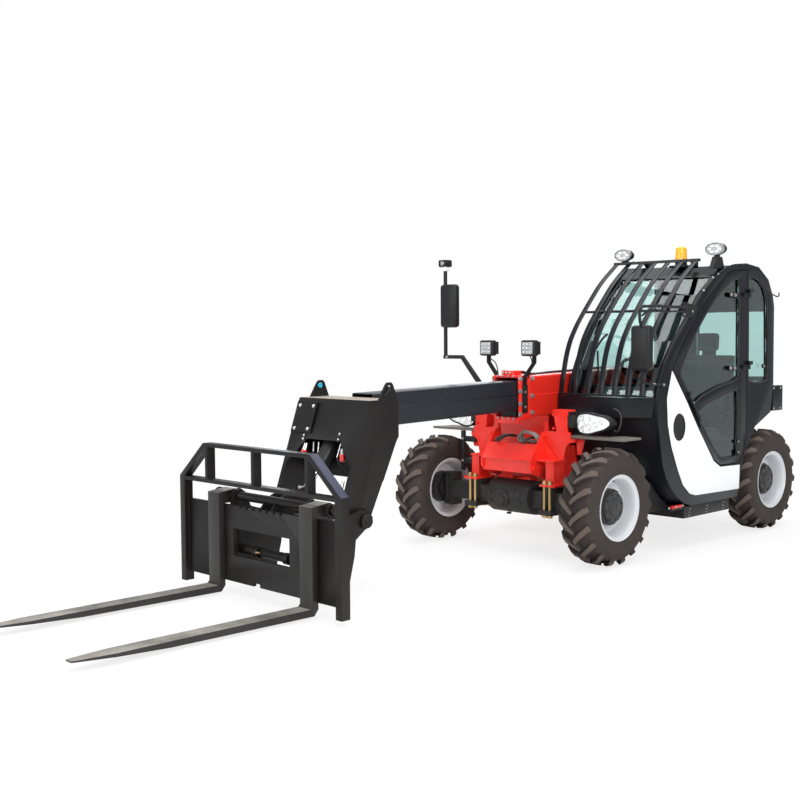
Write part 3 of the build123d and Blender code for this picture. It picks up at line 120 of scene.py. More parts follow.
# %% World
world = bpy.data.worlds.new("overcast")
scene.world = world
world.use_nodes = True
tree = world.node_tree
tree.nodes.clear()
output = tree.nodes.new("ShaderNodeOutputWorld")
sky = tree.nodes.new("ShaderNodeBackground")
sky.inputs["Color"].default_value = (0.93, 0.96, 1.0, 1)
sky.inputs["Strength"].default_value = 0.55
white = tree.nodes.new("ShaderNodeBackground")
white.inputs["Color"].default_value = (1, 1, 1, 1)
white.inputs["Strength"].default_value = 1.0
rays = tree.nodes.new("ShaderNodeLightPath")
seen = tree.nodes.new("ShaderNodeMath")
seen.operation = "MAXIMUM"
tree.links.new(rays.outputs["Is Camera Ray"], seen.inputs[0])
tree.links.new(rays.outputs["Is Transmission Ray"], seen.inputs[1])
blend = tree.nodes.new("ShaderNodeMixShader")
tree.links.new(seen.outputs[0], blend.inputs[0])
tree.links.new(sky.outputs[0], blend.inputs[1])
tree.links.new(white.outputs[0], blend.inputs[2])
tree.links.new(blend.outputs[0], output.inputs["Surface"])

# %% Floor
floor_mesh = bpy.data.meshes.new("floor")
bm = bmesh.new()
bmesh.ops.create_grid(bm, x_segments=1, y_segments=1, size=40)
bm.to_mesh(floor_mesh)
bm.free()
floor = bpy.data.objects.new("floor", floor_mesh)
scene.collection.objects.link(floor)
floor_paint = bpy.data.materials.new("studio_floor")
floor_paint.use_nodes = True
tree = floor_paint.node_tree
tree.nodes.clear()
output = tree.nodes.new("ShaderNodeOutputMaterial")
matt = tree.nodes.new("ShaderNodeBsdfDiffuse")
matt.inputs["Color"].default_value = (0.82, 0.82, 0.82, 1)
glow = tree.nodes.new("ShaderNodeEmission")
glow.inputs["Strength"].default_value = 1.0
rays = tree.nodes.new("ShaderNodeLightPath")
share = tree.nodes.new("ShaderNodeMath")
share.operation = "MULTIPLY"
# the shadow is kept round the machine and fades to plain white further out
where = tree.nodes.new("ShaderNodeTexCoord")
reach = tree.nodes.new("ShaderNodeVectorMath")
reach.operation = "LENGTH"
fade = tree.nodes.new("ShaderNodeMapRange")
fade.interpolation_type = "SMOOTHSTEP"
for socket, value in (("From Min", 2.6), ("From Max", 5.0), ("To Min", 0.78), ("To Max", 1.0)):
    fade.inputs[socket].default_value = value
tree.links.new(where.outputs["Object"], reach.inputs[0])
tree.links.new(reach.outputs["Value"], fade.inputs["Value"])
tree.links.new(fade.outputs[0], share.inputs[1])
blend = tree.nodes.new("ShaderNodeMixShader")
seen = tree.nodes.new("ShaderNodeMath")
seen.operation = "MAXIMUM"
tree.links.new(rays.outputs["Is Camera Ray"], seen.inputs[0])
tree.links.new(rays.outputs["Is Transmission Ray"], seen.inputs[1])
tree.links.new(seen.outputs[0], share.inputs[0])
tree.links.new(share.outputs[0], blend.inputs[0])
tree.links.new(matt.outputs[0], blend.inputs[1])
tree.links.new(glow.outputs[0], blend.inputs[2])
tree.links.new(blend.outputs[0], output.inputs["Surface"])
floor_mesh.materials.append(floor_paint)

# %% [markdown]
# Three large soft lamps shape the machine: a broad one overhead that lights the top faces, a
# key beside the camera that brings out the side of the cab, and a long low strip behind that
# draws a bright edge on the black paint.


# %% Lamps
def soft_lamp(name, place, aim, width, height, watts, colour):
    data = bpy.data.lights.new(name, "AREA")
    data.shape = "RECTANGLE"
    data.size, data.size_y = width, height
    data.energy = watts
    data.color = colour
    lamp = bpy.data.objects.new(name, data)
    scene.collection.objects.link(lamp)
    lamp.location = place
    lamp.rotation_euler = (Vector(aim) - Vector(place)).to_track_quat("-Z", "Y").to_euler()
    return lamp


soft_lamp("overhead", (0.5, 0.3, 7.0), (0.2, 0.2, 0.5), 9, 7, 620, (1.0, 0.99, 0.97))
soft_lamp("key", (7.5, -3.5, 4.2), (0.2, 0.3, 1.0), 4, 3, 420, (1.0, 0.98, 0.95))
soft_lamp("front", (-2.5, -9.0, 3.5), (0.0, -1.0, 0.8), 5, 3, 330, (0.95, 0.98, 1.0))
soft_lamp("behind", (-5.0, 6.5, 3.5), (0.0, 0.5, 1.0), 7, 2, 220, (0.92, 0.96, 1.0))

# %% [markdown]
# Paint on a working machine is never one flat colour. Each coat is a glossy layer over the
# pigment, a little orange-peel in the surface, and a thin veil of dust that is heavier low
# down. One recipe makes them all, and only the colour, gloss and dust change.


# %% Paint recipe
def coat(name, colour, roughness, dust=0.12, dust_colour=(0.30, 0.25, 0.20), metallic=0.0,
         clear=0.0, grain=55.0, bump=0.04, variation=0.12, shine=0.5):
    finish = bpy.data.materials.new(name)
    finish.use_nodes = True
    tree = finish.node_tree
    make, join = tree.nodes.new, tree.links.new
    surface = tree.nodes["Principled BSDF"]
    surface.inputs["Metallic"].default_value = metallic
    surface.inputs["Coat Weight"].default_value = clear
    surface.inputs["Coat Roughness"].default_value = 0.12
    surface.inputs["Specular IOR Level"].default_value = shine
    place = make("ShaderNodeTexCoord")
    patches = make("ShaderNodeTexNoise")
    patches.inputs["Scale"].default_value = 3.2
    patches.inputs["Detail"].default_value = 7.0
    patches.inputs["Roughness"].default_value = 0.62
    join(place.outputs["Object"], patches.inputs["Vector"])
    fine = make("ShaderNodeTexNoise")
    fine.inputs["Scale"].default_value = grain
    fine.inputs["Detail"].default_value = 4.0
    join(place.outputs["Object"], fine.inputs["Vector"])
    # pigment, a shade lighter and darker in broad patches
    tone = make("ShaderNodeValToRGB")
    tone.color_ramp.elements[0].position = 0.30
    tone.color_ramp.elements[1].position = 0.72
    tone.color_ramp.elements[0].color = (*[c * (1 - variation) for c in colour], 1)
    tone.color_ramp.elements[1].color = (*[min(1.0, c * (1 + variation)) for c in colour], 1)
    join(patches.outputs["Fac"], tone.inputs["Fac"])
    # dust settles low down and in patches
    parts = make("ShaderNodeSeparateXYZ")
    join(place.outputs["Object"], parts.inputs[0])
    height = make("ShaderNodeMapRange")
    height.inputs["From Min"].default_value = 1.6
    height.inputs["From Max"].default_value = 0.1
    height.inputs["To Min"].default_value = 0.25
    height.inputs["To Max"].default_value = 1.0
    join(parts.outputs["Z"], height.inputs["Value"])
    cover = make("ShaderNodeMath")
    cover.operation = "MULTIPLY"
    join(height.outputs[0], cover.inputs[0])
    join(patches.outputs["Fac"], cover.inputs[1])
    amount = make("ShaderNodeMath")
    amount.operation = "MULTIPLY"
    amount.inputs[1].default_value = dust * 2
    amount.use_clamp = True
    join(cover.outputs[0], amount.inputs[0])
    mixed = make("ShaderNodeMix")
    mixed.data_type = "RGBA"
    mixed.inputs["B"].default_value = (*dust_colour, 1)
    join(amount.outputs[0], mixed.inputs["Factor"])
    join(tone.outputs["Color"], mixed.inputs["A"])
    join(mixed.outputs["Result"], surface.inputs["Base Color"])
    gloss = make("ShaderNodeMapRange")
    gloss.inputs["To Min"].default_value = max(0.04, roughness - 0.03)
    gloss.inputs["To Max"].default_value = min(1.0, roughness + 0.06)
    join(fine.outputs["Fac"], gloss.inputs["Value"])
    join(gloss.outputs[0], surface.inputs["Roughness"])
    relief = make("ShaderNodeBump")
    relief.inputs["Strength"].default_value = bump
    relief.inputs["Distance"].default_value = 0.002
    join(fine.outputs["Fac"], relief.inputs["Height"])
    join(relief.outputs["Normal"], surface.inputs["Normal"])
    return finish


red_paint = coat("red_paint", (0.78, 0.022, 0.012), 0.32, dust=0.02, clear=0.2, shine=0.35)
cab_paint = coat("cab_paint", (0.005, 0.006, 0.009), 0.30, dust=0.006, clear=0.05, shine=0.20, bump=0.012, grain=30)
white_paint = coat("white_paint", (0.84, 0.85, 0.86), 0.28, dust=0.03, variation=0.02, clear=0.3)
carriage_paint = coat("carriage_paint", (0.009, 0.008, 0.008), 0.38, dust=0.010, shine=0.20)
boom_paint = coat("boom_paint", (0.010, 0.012, 0.017), 0.30, dust=0.012, shine=0.28)
fork_steel = coat("fork_steel", (0.011, 0.010, 0.010), 0.44, dust=0.03, dust_colour=(0.30, 0.27, 0.24), shine=0.35)
barrel_paint = coat("barrel_paint", (0.012, 0.012, 0.014), 0.32, dust=0.02, shine=0.3)
axle_paint = coat("axle_paint", (0.012, 0.012, 0.013), 0.42, dust=0.03, shine=0.28)
rim_paint = coat("rim_paint", (0.56, 0.58, 0.61), 0.27, dust=0.05, variation=0.04, clear=0.2)
hub_paint = coat("hub_paint", (0.020, 0.021, 0.024), 0.40, dust=0.04, shine=0.3)
moulding = coat("moulding", (0.011, 0.011, 0.012), 0.42, dust=0.012, grain=220, bump=0.10, shine=0.25)
engine_paint = coat("engine_paint", (0.12, 0.12, 0.13), 0.50, dust=0.15)
rubber = coat("tyre_rubber", (0.030, 0.025, 0.023), 0.68, dust=0.16, dust_colour=(0.11, 0.085, 0.07), grain=90, bump=0.16, shine=0.2)
worn_tread = coat("worn_tread", (0.085, 0.068, 0.058), 0.74, dust=0.25, dust_colour=(0.17, 0.135, 0.115), grain=120, bump=0.2, shine=0.15)
worn_fork_top = coat("worn_fork_top", (0.19, 0.18, 0.165), 0.58, dust=0.12, dust_colour=(0.30, 0.25, 0.20), grain=38, bump=0.3, variation=0.6, shine=0.3)
dusty_top = coat("dusty_top", (0.26, 0.22, 0.19), 0.70, dust=0.2, dust_colour=(0.36, 0.30, 0.25), variation=0.2, shine=0.2)
navy_paint = coat("navy_paint", (0.014, 0.020, 0.055), 0.36, dust=0.02, shine=0.3)
dusty_blade = coat("dusty_blade", (0.13, 0.12, 0.105), 0.62, dust=0.10, shine=0.2)
gasket = coat("gasket_rubber", (0.012, 0.012, 0.013), 0.60, dust=0.04, grain=150)
chrome = coat("polished_rod", (0.78, 0.79, 0.80), 0.10, dust=0.02, metallic=1.0, variation=0.02, bump=0.0)
zinc = coat("zinc_bolt", (0.62, 0.62, 0.60), 0.30, dust=0.05, metallic=1.0, variation=0.06)
brass = coat("plated_stud", (0.55, 0.38, 0.17), 0.33, dust=0.05, metallic=0.9, variation=0.15)
heat_steel = coat("exhaust_steel", (0.30, 0.27, 0.24), 0.42, dust=0.10, metallic=0.8, variation=0.25)
print("coats", len(bpy.data.materials))


# %% Glass
def tinted_glass(name, colour, roughness=0.02, density=1.0):
    finish = bpy.data.materials.new(name)
    finish.use_nodes = True
    surface = finish.node_tree.nodes["Principled BSDF"]
    surface.inputs["Base Color"].default_value = (*colour, 1)
    surface.inputs["Roughness"].default_value = roughness
    surface.inputs["Transmission Weight"].default_value = density
    surface.inputs["IOR"].default_value = 1.45
    return finish


window_glass = tinted_glass("window_glass", (0.62, 0.80, 0.78))
lens_glass = tinted_glass("lens_glass", (0.95, 0.97, 1.0))

# %% [markdown]
# A CAD node is an exact but razor-sharp mesh. Real plate has a small round on every edge, and
# that round is what catches the light. So each node that shows gets a copy: its loose triangles
# are merged, flat areas dissolved back into whole faces, and a live Bevel rounds what is left.


# %% Rounded copies of the nodes
def dressed(node, finish, width=0.0025, segments=2, angle=28, accent=None, where=None):
    source = nodes[node]
    body = source["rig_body"]
    mesh = source.data.copy()
    mesh.name = node + "_skin"
    bm = bmesh.new()
    bm.from_mesh(mesh)
    bmesh.ops.remove_doubles(bm, verts=bm.verts, dist=0.00005)
    bmesh.ops.dissolve_limit(bm, angle_limit=radians(0.6), verts=bm.verts, edges=bm.edges)
    for face in bm.faces:
        face.smooth = True
        face.material_index = 1 if accent and where(face.normal, face.calc_center_median()) else 0
    mesh.materials.clear()
    mesh.materials.append(finish)
    if accent:
        mesh.materials.append(accent)
    bm.to_mesh(mesh)
    bm.free()
    piece = bpy.data.objects.new(node + "_skin", mesh)
    scene.collection.objects.link(piece)
    if width:
        round_off = piece.modifiers.new("edge_round", "BEVEL")
        round_off.width = width
        round_off.segments = segments
        round_off.limit_method = "ANGLE"
        round_off.angle_limit = radians(angle)
        round_off.harden_normals = True
        round_off.use_clamp_overlap = True
    else:
        mesh.set_sharp_from_angle(angle=radians(angle))
    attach(piece, body)
    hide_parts(node)
    return piece


slot_of = {entry["node"]: entry["material_slot"] for entry in frame["record"]["subparts"]}
finish_of_slot = {
    "frame_red": red_paint, "cab_black": cab_paint, "panel_white": white_paint,
    "carriage_grey": carriage_paint, "boom_black": boom_paint, "fork_steel": fork_steel,
    "barrel_black": barrel_paint, "rod_chrome": chrome, "axle_dark": axle_paint,
    "stud_brass": brass, "rim_white": rim_paint, "tyre_rubber": rubber,
    "window_glass": window_glass, "trim_plastic": moulding, "lamp_shell": moulding,
    "seat_fabric": moulding, "engine_iron": engine_paint, "exhaust_steel": heat_steel,
    "wear_pad": moulding,
}
for name, obj in nodes.items():
    obj.data.materials.clear()
    obj.data.materials.append(finish_of_slot[slot_of[name]])
dressed("forks", fork_steel, accent=worn_fork_top, where=lambda normal, middle: normal.z > 0.93)
dressed("boom_head", carriage_paint, accent=dusty_top, where=lambda normal, middle: normal.z > 0.93 and middle.z > 1.10)
# one sloping end of the load backrest is navy blue
dressed("carriage", carriage_paint, accent=navy_paint,
        where=lambda normal, middle: 0.45 < middle.x < 0.704 and 0.665 < middle.z < 0.872 and abs(normal.x) > 0.3)
for name in ("outer_boom", "inner_boom", "front_frame", "chassis_frame",
             "door_frame", "cab_side_panel", "engine_bay", "engine_hood", "tail_box", "step_box", "front_axle"):
    dressed(name, finish_of_slot[slot_of[name]])
dressed("cab_shell", cab_paint, width=0.011, segments=3)
dressed("fenders", dusty_blade, width=0.001)

# %% [markdown]
# Everything from here on is built with bmesh operators. A handful of helpers cover the shapes
# of a machine: a plate is a face extruded, a rod is a cone primitive laid between two points,
# a turned part is a profile spun about an axle, and a bent bar or hose is a smooth curve that
# is made into a mesh. `finished` closes a piece: it merges doubles, turns the normals outwards,
# and lets the piece ride on its body.


# %% Shaping helpers
def paint_faces(verts, paint):
    for face in {face for vert in verts for face in vert.link_faces}:
        face.material_index = paint


def plate(bm, outline, depth, paint=0):
    corners = [bm.verts.new(point) for point in outline]
    made = bmesh.ops.extrude_face_region(bm, geom=[bm.faces.new(corners)])
    raised = [item for item in made["geom"] if isinstance(item, bmesh.types.BMVert)]
    bmesh.ops.translate(bm, verts=raised, vec=depth)
    paint_faces(corners + raised, paint)
    return corners + raised


def side_plate(bm, points, x0, x1, paint=0):
    return plate(bm, [mm(x0, s, z) for s, z in points], Vector(((x1 - x0) / 1000, 0, 0)), paint)


def block(bm, x, s, z, paint=0, ease=0.0):
    low, high = mm(x[0], s[0], z[0]), mm(x[1], s[1], z[1])
    size = high - low
    shape = Matrix.Translation((low + high) / 2) @ Matrix.Diagonal((*size, 1))
    corners = bmesh.ops.create_cube(bm, size=1, matrix=shape)["verts"]
    paint_faces(corners, paint)
    if ease:
        edges = {edge for vert in corners for edge in vert.link_edges}
        made = bmesh.ops.bevel(bm, geom=list(edges), offset=ease / 1000, segments=3, profile=0.5,
                               affect="EDGES", material=-1)
        paint_faces(made["verts"], paint)


def rod(bm, start, end, radius, end_radius=None, sides=18, paint=0):
    axis = end - start
    lie = Matrix.Translation((start + end) / 2) @ axis.to_track_quat("Z", "Y").to_matrix().to_4x4()
    made = bmesh.ops.create_cone(bm, cap_ends=True, segments=sides, radius1=radius / 1000, depth=axis.length,
                                 radius2=(radius if end_radius is None else end_radius) / 1000, matrix=lie)
    paint_faces(made["verts"], paint)


def spun(bm, profile, centre, axis, steps=48, closed=False, paint=0):
    """Spins (along, radius) points in millimetres once round an axis."""
    out = axis.orthogonal().normalized()
    points = [bm.verts.new(centre + axis * (a / 1000) + out * (r / 1000)) for a, r in profile]
    runs = list(zip(points, points[1:])) + ([(points[-1], points[0])] if closed else [])
    edges = [bm.edges.new(run) for run in runs]
    before = set(bm.faces)
    bmesh.ops.spin(bm, geom=points + edges, cent=centre, axis=axis, angle=2 * pi, steps=steps, use_merge=True)
    for face in bm.faces:
        if face not in before:
            face.material_index = paint


def bolt(bm, place, axis, across=18, height=9, paint=0):
    axis = axis.normalized()
    foot, head = axis * (height * 0.0003), axis * (height / 1000)
    rod(bm, place - axis * 0.002, place + foot, across * 0.68, sides=16, paint=paint)
    rod(bm, place + foot, place + head, across * 0.56, across * 0.52, sides=6, paint=paint)


def curve_mesh(points, closed, settings, kind="BEZIER"):
    data = bpy.data.curves.new("path", "CURVE")
    for key, value in settings.items():
        setattr(data, key, value)
    spline = data.splines.new(kind)
    if kind == "BEZIER":
        spline.bezier_points.add(len(points) - 1)
        for knot, point in zip(spline.bezier_points, points):
            knot.co = point
            knot.handle_left_type = knot.handle_right_type = "AUTO"
    else:
        spline.points.add(len(points) - 1)
        for knot, point in zip(spline.points, points):
            knot.co = (*point, 1)
        spline.order_u = 3
        spline.use_endpoint_u = True
    spline.use_cyclic_u = closed
    holder = bpy.data.objects.new("path", data)
    scene.collection.objects.link(holder)
    mesh = bpy.data.meshes.new_from_object(holder)
    bpy.data.objects.remove(holder)
    return mesh


def take_in(bm, mesh, paint):
    before = set(bm.faces)
    bm.from_mesh(mesh)
    bpy.data.meshes.remove(mesh)
    for face in bm.faces:
        if face not in before:
            face.material_index = paint


def tube(bm, points, radius, closed=False, paint=0, kind="BEZIER", ring=3, fine=8):
    take_in(bm, curve_mesh(points, closed, {"dimensions": "3D", "bevel_depth": radius / 1000, "bevel_resolution": ring,
                                            "resolution_u": fine, "use_fill_caps": not closed}, kind), paint)


def bent_bar(bm, line, x0, x1, thick, paint=0):
    """Flat bar as wide as x0 to x1, bent smoothly through side-view points."""
    round_edge = thick / 2000
    mesh = curve_mesh([(s / 1000, z / 1000, 0) for s, z in line], False,
                      {"dimensions": "2D", "fill_mode": "NONE", "extrude": (x1 - x0) / 2000 - round_edge, "bevel_depth": round_edge,
                       "bevel_resolution": 2, "resolution_u": 8})
    centre = mm((x0 + x1) / 2, 0, 0)
    mesh.transform(Matrix(((0, 0, 1, centre.x), (1, 0, 0, centre.y), (0, 1, 0, centre.z), (0, 0, 0, 1))))
    take_in(bm, mesh, paint)


def finished(bm, name, finishes, body, slot, *stands_for, round_by=0.0, angle=32, soft=False):
    bmesh.ops.remove_doubles(bm, verts=bm.verts, dist=0.00003)
    bmesh.ops.recalc_face_normals(bm, faces=bm.faces)
    for face in bm.faces:
        face.smooth = True
    mesh = bpy.data.meshes.new(name)
    bm.to_mesh(mesh)
    bm.free()
    for finish in finishes if isinstance(finishes, (list, tuple)) else [finishes]:
        mesh.materials.append(finish)
    made = bpy.data.objects.new(name, mesh)
    scene.collection.objects.link(made)
    if round_by:
        ease = made.modifiers.new("edge_round", "BEVEL")
        ease.width, ease.segments = round_by / 1000, 2
        ease.limit_method, ease.angle_limit = "ANGLE", radians(angle)
        ease.harden_normals = True
    elif not soft:
        mesh.set_sharp_from_angle(angle=radians(angle))
    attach(made, body)
    if stands_for:
        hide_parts(*stands_for)
    return made


def body_of(node):
    return nodes[node]["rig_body"]


print("helpers ready")

# %% [markdown]
# The tyres carry the eye, so they are made twice as rich as anything else. One lug starts as a
# small grid laid in the tread's plane: its centre line bends from the crown to the shoulder and
# it widens outwards. The grid is extruded down to the carcass, its top edge is bevelled, and
# then it is wrapped round the wheel. Thirty-six turned copies, half of them mirrored, give the
# chevrons. The carcass itself is a spun profile with sidewall ribs.

# %% Tyre
tyre_low, tyre_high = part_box("tyre_fl")
TYRE_R = (tyre_high.z - tyre_low.z) * 500
LUGS = 18
SIDEWALL = [(-90, 196), (90, 196), (101, 199), (107, 208), (110, 220), (118, 236), (121, 240), (121, 245), (119, 248), (124, 272),
            (124, 290), (120, 308), (112, 326), (98, 339), (60, 347), (0, 350)]


def tread_radius(w):
    w = abs(w)
    return TYRE_R - 0.2 - 0.0009 * w * w - max(0, w - 84) * 0.62


def one_lug(bm, turn, hand):
    made = bmesh.ops.create_grid(bm, x_segments=5, y_segments=1, size=1)["verts"]
    sole = bmesh.ops.extrude_face_region(bm, geom=list({f for v in made for f in v.link_faces}))
    deep = {item for item in sole["geom"] if isinstance(item, bmesh.types.BMVert)}
    verts = list(made) + list(deep)
    rim = [e for e in {e for v in made for e in v.link_edges} if e.verts[0] not in deep and e.verts[1] not in deep]
    for vert in verts:
        run, side = (vert.co.x + 1) / 2, vert.co.y
        low = vert in deep
        half = (10.5 + 8.5 * run) + (4.0 if low else 0.0)
        w = -8 + 128 * run + (3 if low and run > 0.9 else 0)
        u = -8 + 100 * run ** 0.86 + side * half * 0.80 + (0 if not low else 0)
        w -= side * half * 0.52
        w = max(-15, min(w, 123))
        r = (332 - max(0, w - 95) * 1.1) if low else tread_radius(w)
        if run > 0.99 and not low:
            r -= 3
        angle = u / 352 * 1.0
        place = Vector((w, 0, r))
        vert.co = Matrix.Rotation(turn, 3, "X") @ Matrix.Rotation(-angle, 3, "X") @ place / 1000
        if hand < 0:
            vert.co.x = -vert.co.x
    edge = [e for e in rim if len(e.link_faces) == 2 and e.calc_face_angle(0) > 0.6]
    for face in {face for vert in made for face in vert.link_faces}:
        face.material_index = 0 if any(vert in deep for vert in face.verts) else 1
    bmesh.ops.bevel(bm, geom=edge, offset=0.003, segments=2, profile=0.5, affect="EDGES", material=-1)


def tyre_mesh():
    bm = bmesh.new()
    carcass = SIDEWALL + [(-w, r) for w, r in SIDEWALL[-2:1:-1]]
    spun(bm, carcass, Vector((0, 0, 0)), Vector((1, 0, 0)), steps=72, closed=True)
    for hand, start in ((1, 0.0), (-1, pi / LUGS)):
        for k in range(LUGS):
            one_lug(bm, start + k * 2 * pi / LUGS, hand)
    bmesh.ops.recalc_face_normals(bm, faces=bm.faces)
    return bm


for end in ("fl", "fr", "rl", "rr"):
    low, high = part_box("tyre_" + end)
    bm = tyre_mesh()
    # the sidewalls are drawn a little wide, so the finished tyre is brought in to its node's own width
    widest = max(abs(vert.co.x) for vert in bm.verts)
    bmesh.ops.scale(bm, verts=bm.verts, vec=((high.x - low.x) / 2 / widest, 1, 1))
    bmesh.ops.translate(bm, verts=bm.verts, vec=(low + high) / 2)
    tyre = finished(bm, "ag_tyre_" + end, [rubber, worn_tread], body_of("tyre_" + end), "tyre_rubber", "tyre_" + end, angle=30)
print("tyre faces", len(tyre.data.polygons))

# %% [markdown]
# A wheel is a deep pressed barrel welded to a disc, with the dark reduction hub standing in the
# middle. Both are spun profiles. The hub gets its ring of cap screws, a filler plug and the
# pressed rings that the casting shows, and the barrel a valve stem.

# %% Rims and hubs
BARREL = [(-112, 214), (-108, 215), (-104, 212), (-101, 202), (-96, 195.6), (96, 195.6), (101, 202), (104, 212), (108, 215), (112, 214),
          (112, 209), (106, 205), (103, 194), (98, 189), (60, 183), (20, 178), (5, 172), (2, 160), (2, 112), (-9, 112), (-9, 168), (-14, 174),
          (-60, 182), (-98, 189), (-104, 196), (-107, 206), (-112, 209)]
HUB = [(-45, 41), (-45, 108), (-20, 112), (0, 118), (40, 118), (46, 114), (48, 104), (62, 101), (67, 97), (67, 60), (70, 56), (74, 54),
       (76, 50), (76, 20), (73, 18), (73, 0), (58, 0), (58, 41)]
for end in ("fl", "fr", "rl", "rr"):
    low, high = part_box("rim_" + end)
    centre = (low + high) / 2
    out = Vector((1 if end.endswith("l") else -1, 0, 0))
    bm = bmesh.new()
    spun(bm, BARREL, centre, out, steps=64, closed=True)
    valve = centre + out * 0.02 + Vector((0, 0, 1)) * 0.168
    rod(bm, valve, valve + out * 0.045, 5, 4, sides=10, paint=1)
    bare = [rim_paint, moulding]
    finished(bm, "pressed_rim_" + end, bare, body_of("rim_" + end), "rim_white", "rim_" + end, angle=40)
    bm = bmesh.new()
    spun(bm, HUB, centre, out, steps=48)
    for k in range(8):
        arm = Matrix.Rotation(2 * pi * (k + 0.3) / 8, 3, "X") @ Vector((0, 0, 1))
        bolt(bm, centre + out * 0.066 + arm * 0.083, out, 15, 7)
        rod(bm, centre + out * 0.046 + arm * 0.109, centre + out * 0.052 + arm * 0.109, 6.5, sides=10)
    plug = Matrix.Rotation(0.9, 3, "X") @ Vector((0, 0, 1))
    rod(bm, centre + out * 0.072 + plug * 0.032, centre + out * 0.0755 + plug * 0.032, 8, sides=6)
    finished(bm, "reduction_hub_" + end, hub_paint, body_of("rim_" + end), "axle_dark", angle=35)
print("hub profile", len(HUB), "points")

# %% [markdown]
# Clear lamps have three layers: a dark shell, a bright reflector and a lens with round LED
# cups. The beacon is amber plastic with vertical ribs. The finishes for these small bright
# parts are made first. Each takes its colour straight on the shader's own socket.


# %% Finishes of the small parts
def glassy(name, colour, roughness, transmission, glow=0.0):
    finish = bpy.data.materials.new(name)
    finish.use_nodes = True
    surface = finish.node_tree.nodes["Principled BSDF"]
    surface.inputs["Base Color"].default_value = (*colour, 1)
    surface.inputs["Roughness"].default_value = roughness
    surface.inputs["Transmission Weight"].default_value = transmission
    surface.inputs["Emission Color"].default_value = (*colour, 1)
    surface.inputs["Emission Strength"].default_value = glow
    return finish


amber = glassy("amber_plastic", (1.0, 0.42, 0.01), 0.22, 0.0)
red_lens = glassy("red_lens", (0.60, 0.010, 0.012), 0.12, 0.20)
reflector = coat("lamp_reflector", (0.36, 0.37, 0.38), 0.30, dust=0.02, variation=0.05)
led_white = coat("led_chip", (0.88, 0.88, 0.80), 0.25, dust=0.0, variation=0.04)
mirror_face = coat("mirror_face", (0.80, 0.83, 0.86), 0.05, dust=0.0, metallic=1.0, variation=0.01, bump=0.0)
fittings = coat("fitting_steel", (0.42, 0.42, 0.42), 0.36, dust=0.05, metallic=0.8, variation=0.10)
louvre = coat("louvre_black", (0.010, 0.010, 0.011), 0.62, dust=0.02)
print("small finishes", len(bpy.data.materials))

# %% [markdown]
# The windscreen guard is seven flat bars bent in one smooth line from the cowl to the roof,
# welded to a rail at each end and a round rod across the middle. A curve through the bend
# points, extruded to the bar's width, gives the smooth bend that a chain of flat runs lacks.

# %% Windscreen guard
guard_low, guard_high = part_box("windscreen_guard")
GUARD_X0, GUARD_X1 = guard_low.x * 1000, guard_high.x * 1000
BAR_WIDTH, BAR_COUNT, SWEEP = 42, 7, 64
GUARD_RUN = [(326, 1076), (352, 1220), (410, 1409), (482, 1527), (574, 1636), (691, 1760), (783, 1850), (982, 1998)]


def sweep_at(x):
    return SWEEP * (x - GUARD_X0) / (GUARD_X1 - GUARD_X0)


bm = bmesh.new()
for k in range(BAR_COUNT):
    x0 = GUARD_X0 + k * (GUARD_X1 - GUARD_X0 - BAR_WIDTH) / (BAR_COUNT - 1)
    bent_bar(bm, [(s + 4 + sweep_at(x0), z) for s, z in GUARD_RUN], x0, x0 + BAR_WIDTH, 7)
for s0, z0, deep, tall in ((320, 1068, 28, 13), (978, 1993, 34, 19)):
    corners = [mm(GUARD_X0, s0, z0), mm(GUARD_X1, s0 + SWEEP, z0), mm(GUARD_X1, s0 + SWEEP + deep, z0), mm(GUARD_X0, s0 + deep, z0)]
    plate(bm, corners, Vector((0, 0, tall / 1000)))
rod(bm, mm(GUARD_X0, 594, 1646), mm(GUARD_X1, 594 + SWEEP, 1646), 9)
for x0 in (230, 620):
    foot = 324 + sweep_at(x0)
    block(bm, (x0, x0 + 34), (foot, foot + 28), (1064, 1072))
    reach = 980 + sweep_at(x0)
    side_plate(bm, [(reach, 2011), (1190, 2015), (1249, 2011), (1249, 1958), (1234, 1958), (1190, 2004), (reach, 1998)], x0, x0 + 34)
    for s in (1030, 1215):
        bolt(bm, mm(x0 + 17, s + sweep_at(x0) * 0.3, 2013), Vector((0, 0, 1)), 15, 6, paint=1)
finished(bm, "guard_bars", [cab_paint, zinc], body_of("windscreen_guard"), slot_of["windscreen_guard"], "windscreen_guard",
         round_by=1.2, angle=50)
print("guard bars", BAR_COUNT)

# %% [markdown]
# The cab is welded from rolled tube, so its pillars are round-nosed. A tube that follows the
# front pillar's line softens the flat-cut corner, and black rubber gaskets run round every
# pane. Each gasket is one closed tube, pressed half into the frame.

# %% Pillar tube and gaskets
PILLAR = [(470, 1000), (478, 1107), (546, 1261), (606, 1345), (687, 1436), (854, 1595), (1010, 1757), (1110, 1832), (1212, 1897),
          (1392, 1970), (1593, 1992)]
bm = bmesh.new()
tube(bm, [mm(820, s + 2, z - 5) for s, z in PILLAR], 10.5)
tube(bm, [mm(134, s, z - 4) for s, z in [(406, 1010), (427, 1107), (480, 1261), (583, 1436), (690, 1595), (852, 1758), (1010, 1900), (1105, 1970)]], 9)
finished(bm, "pillar_tubes", cab_paint, body_of("cab_shell"), slot_of["cab_shell"], soft=True)

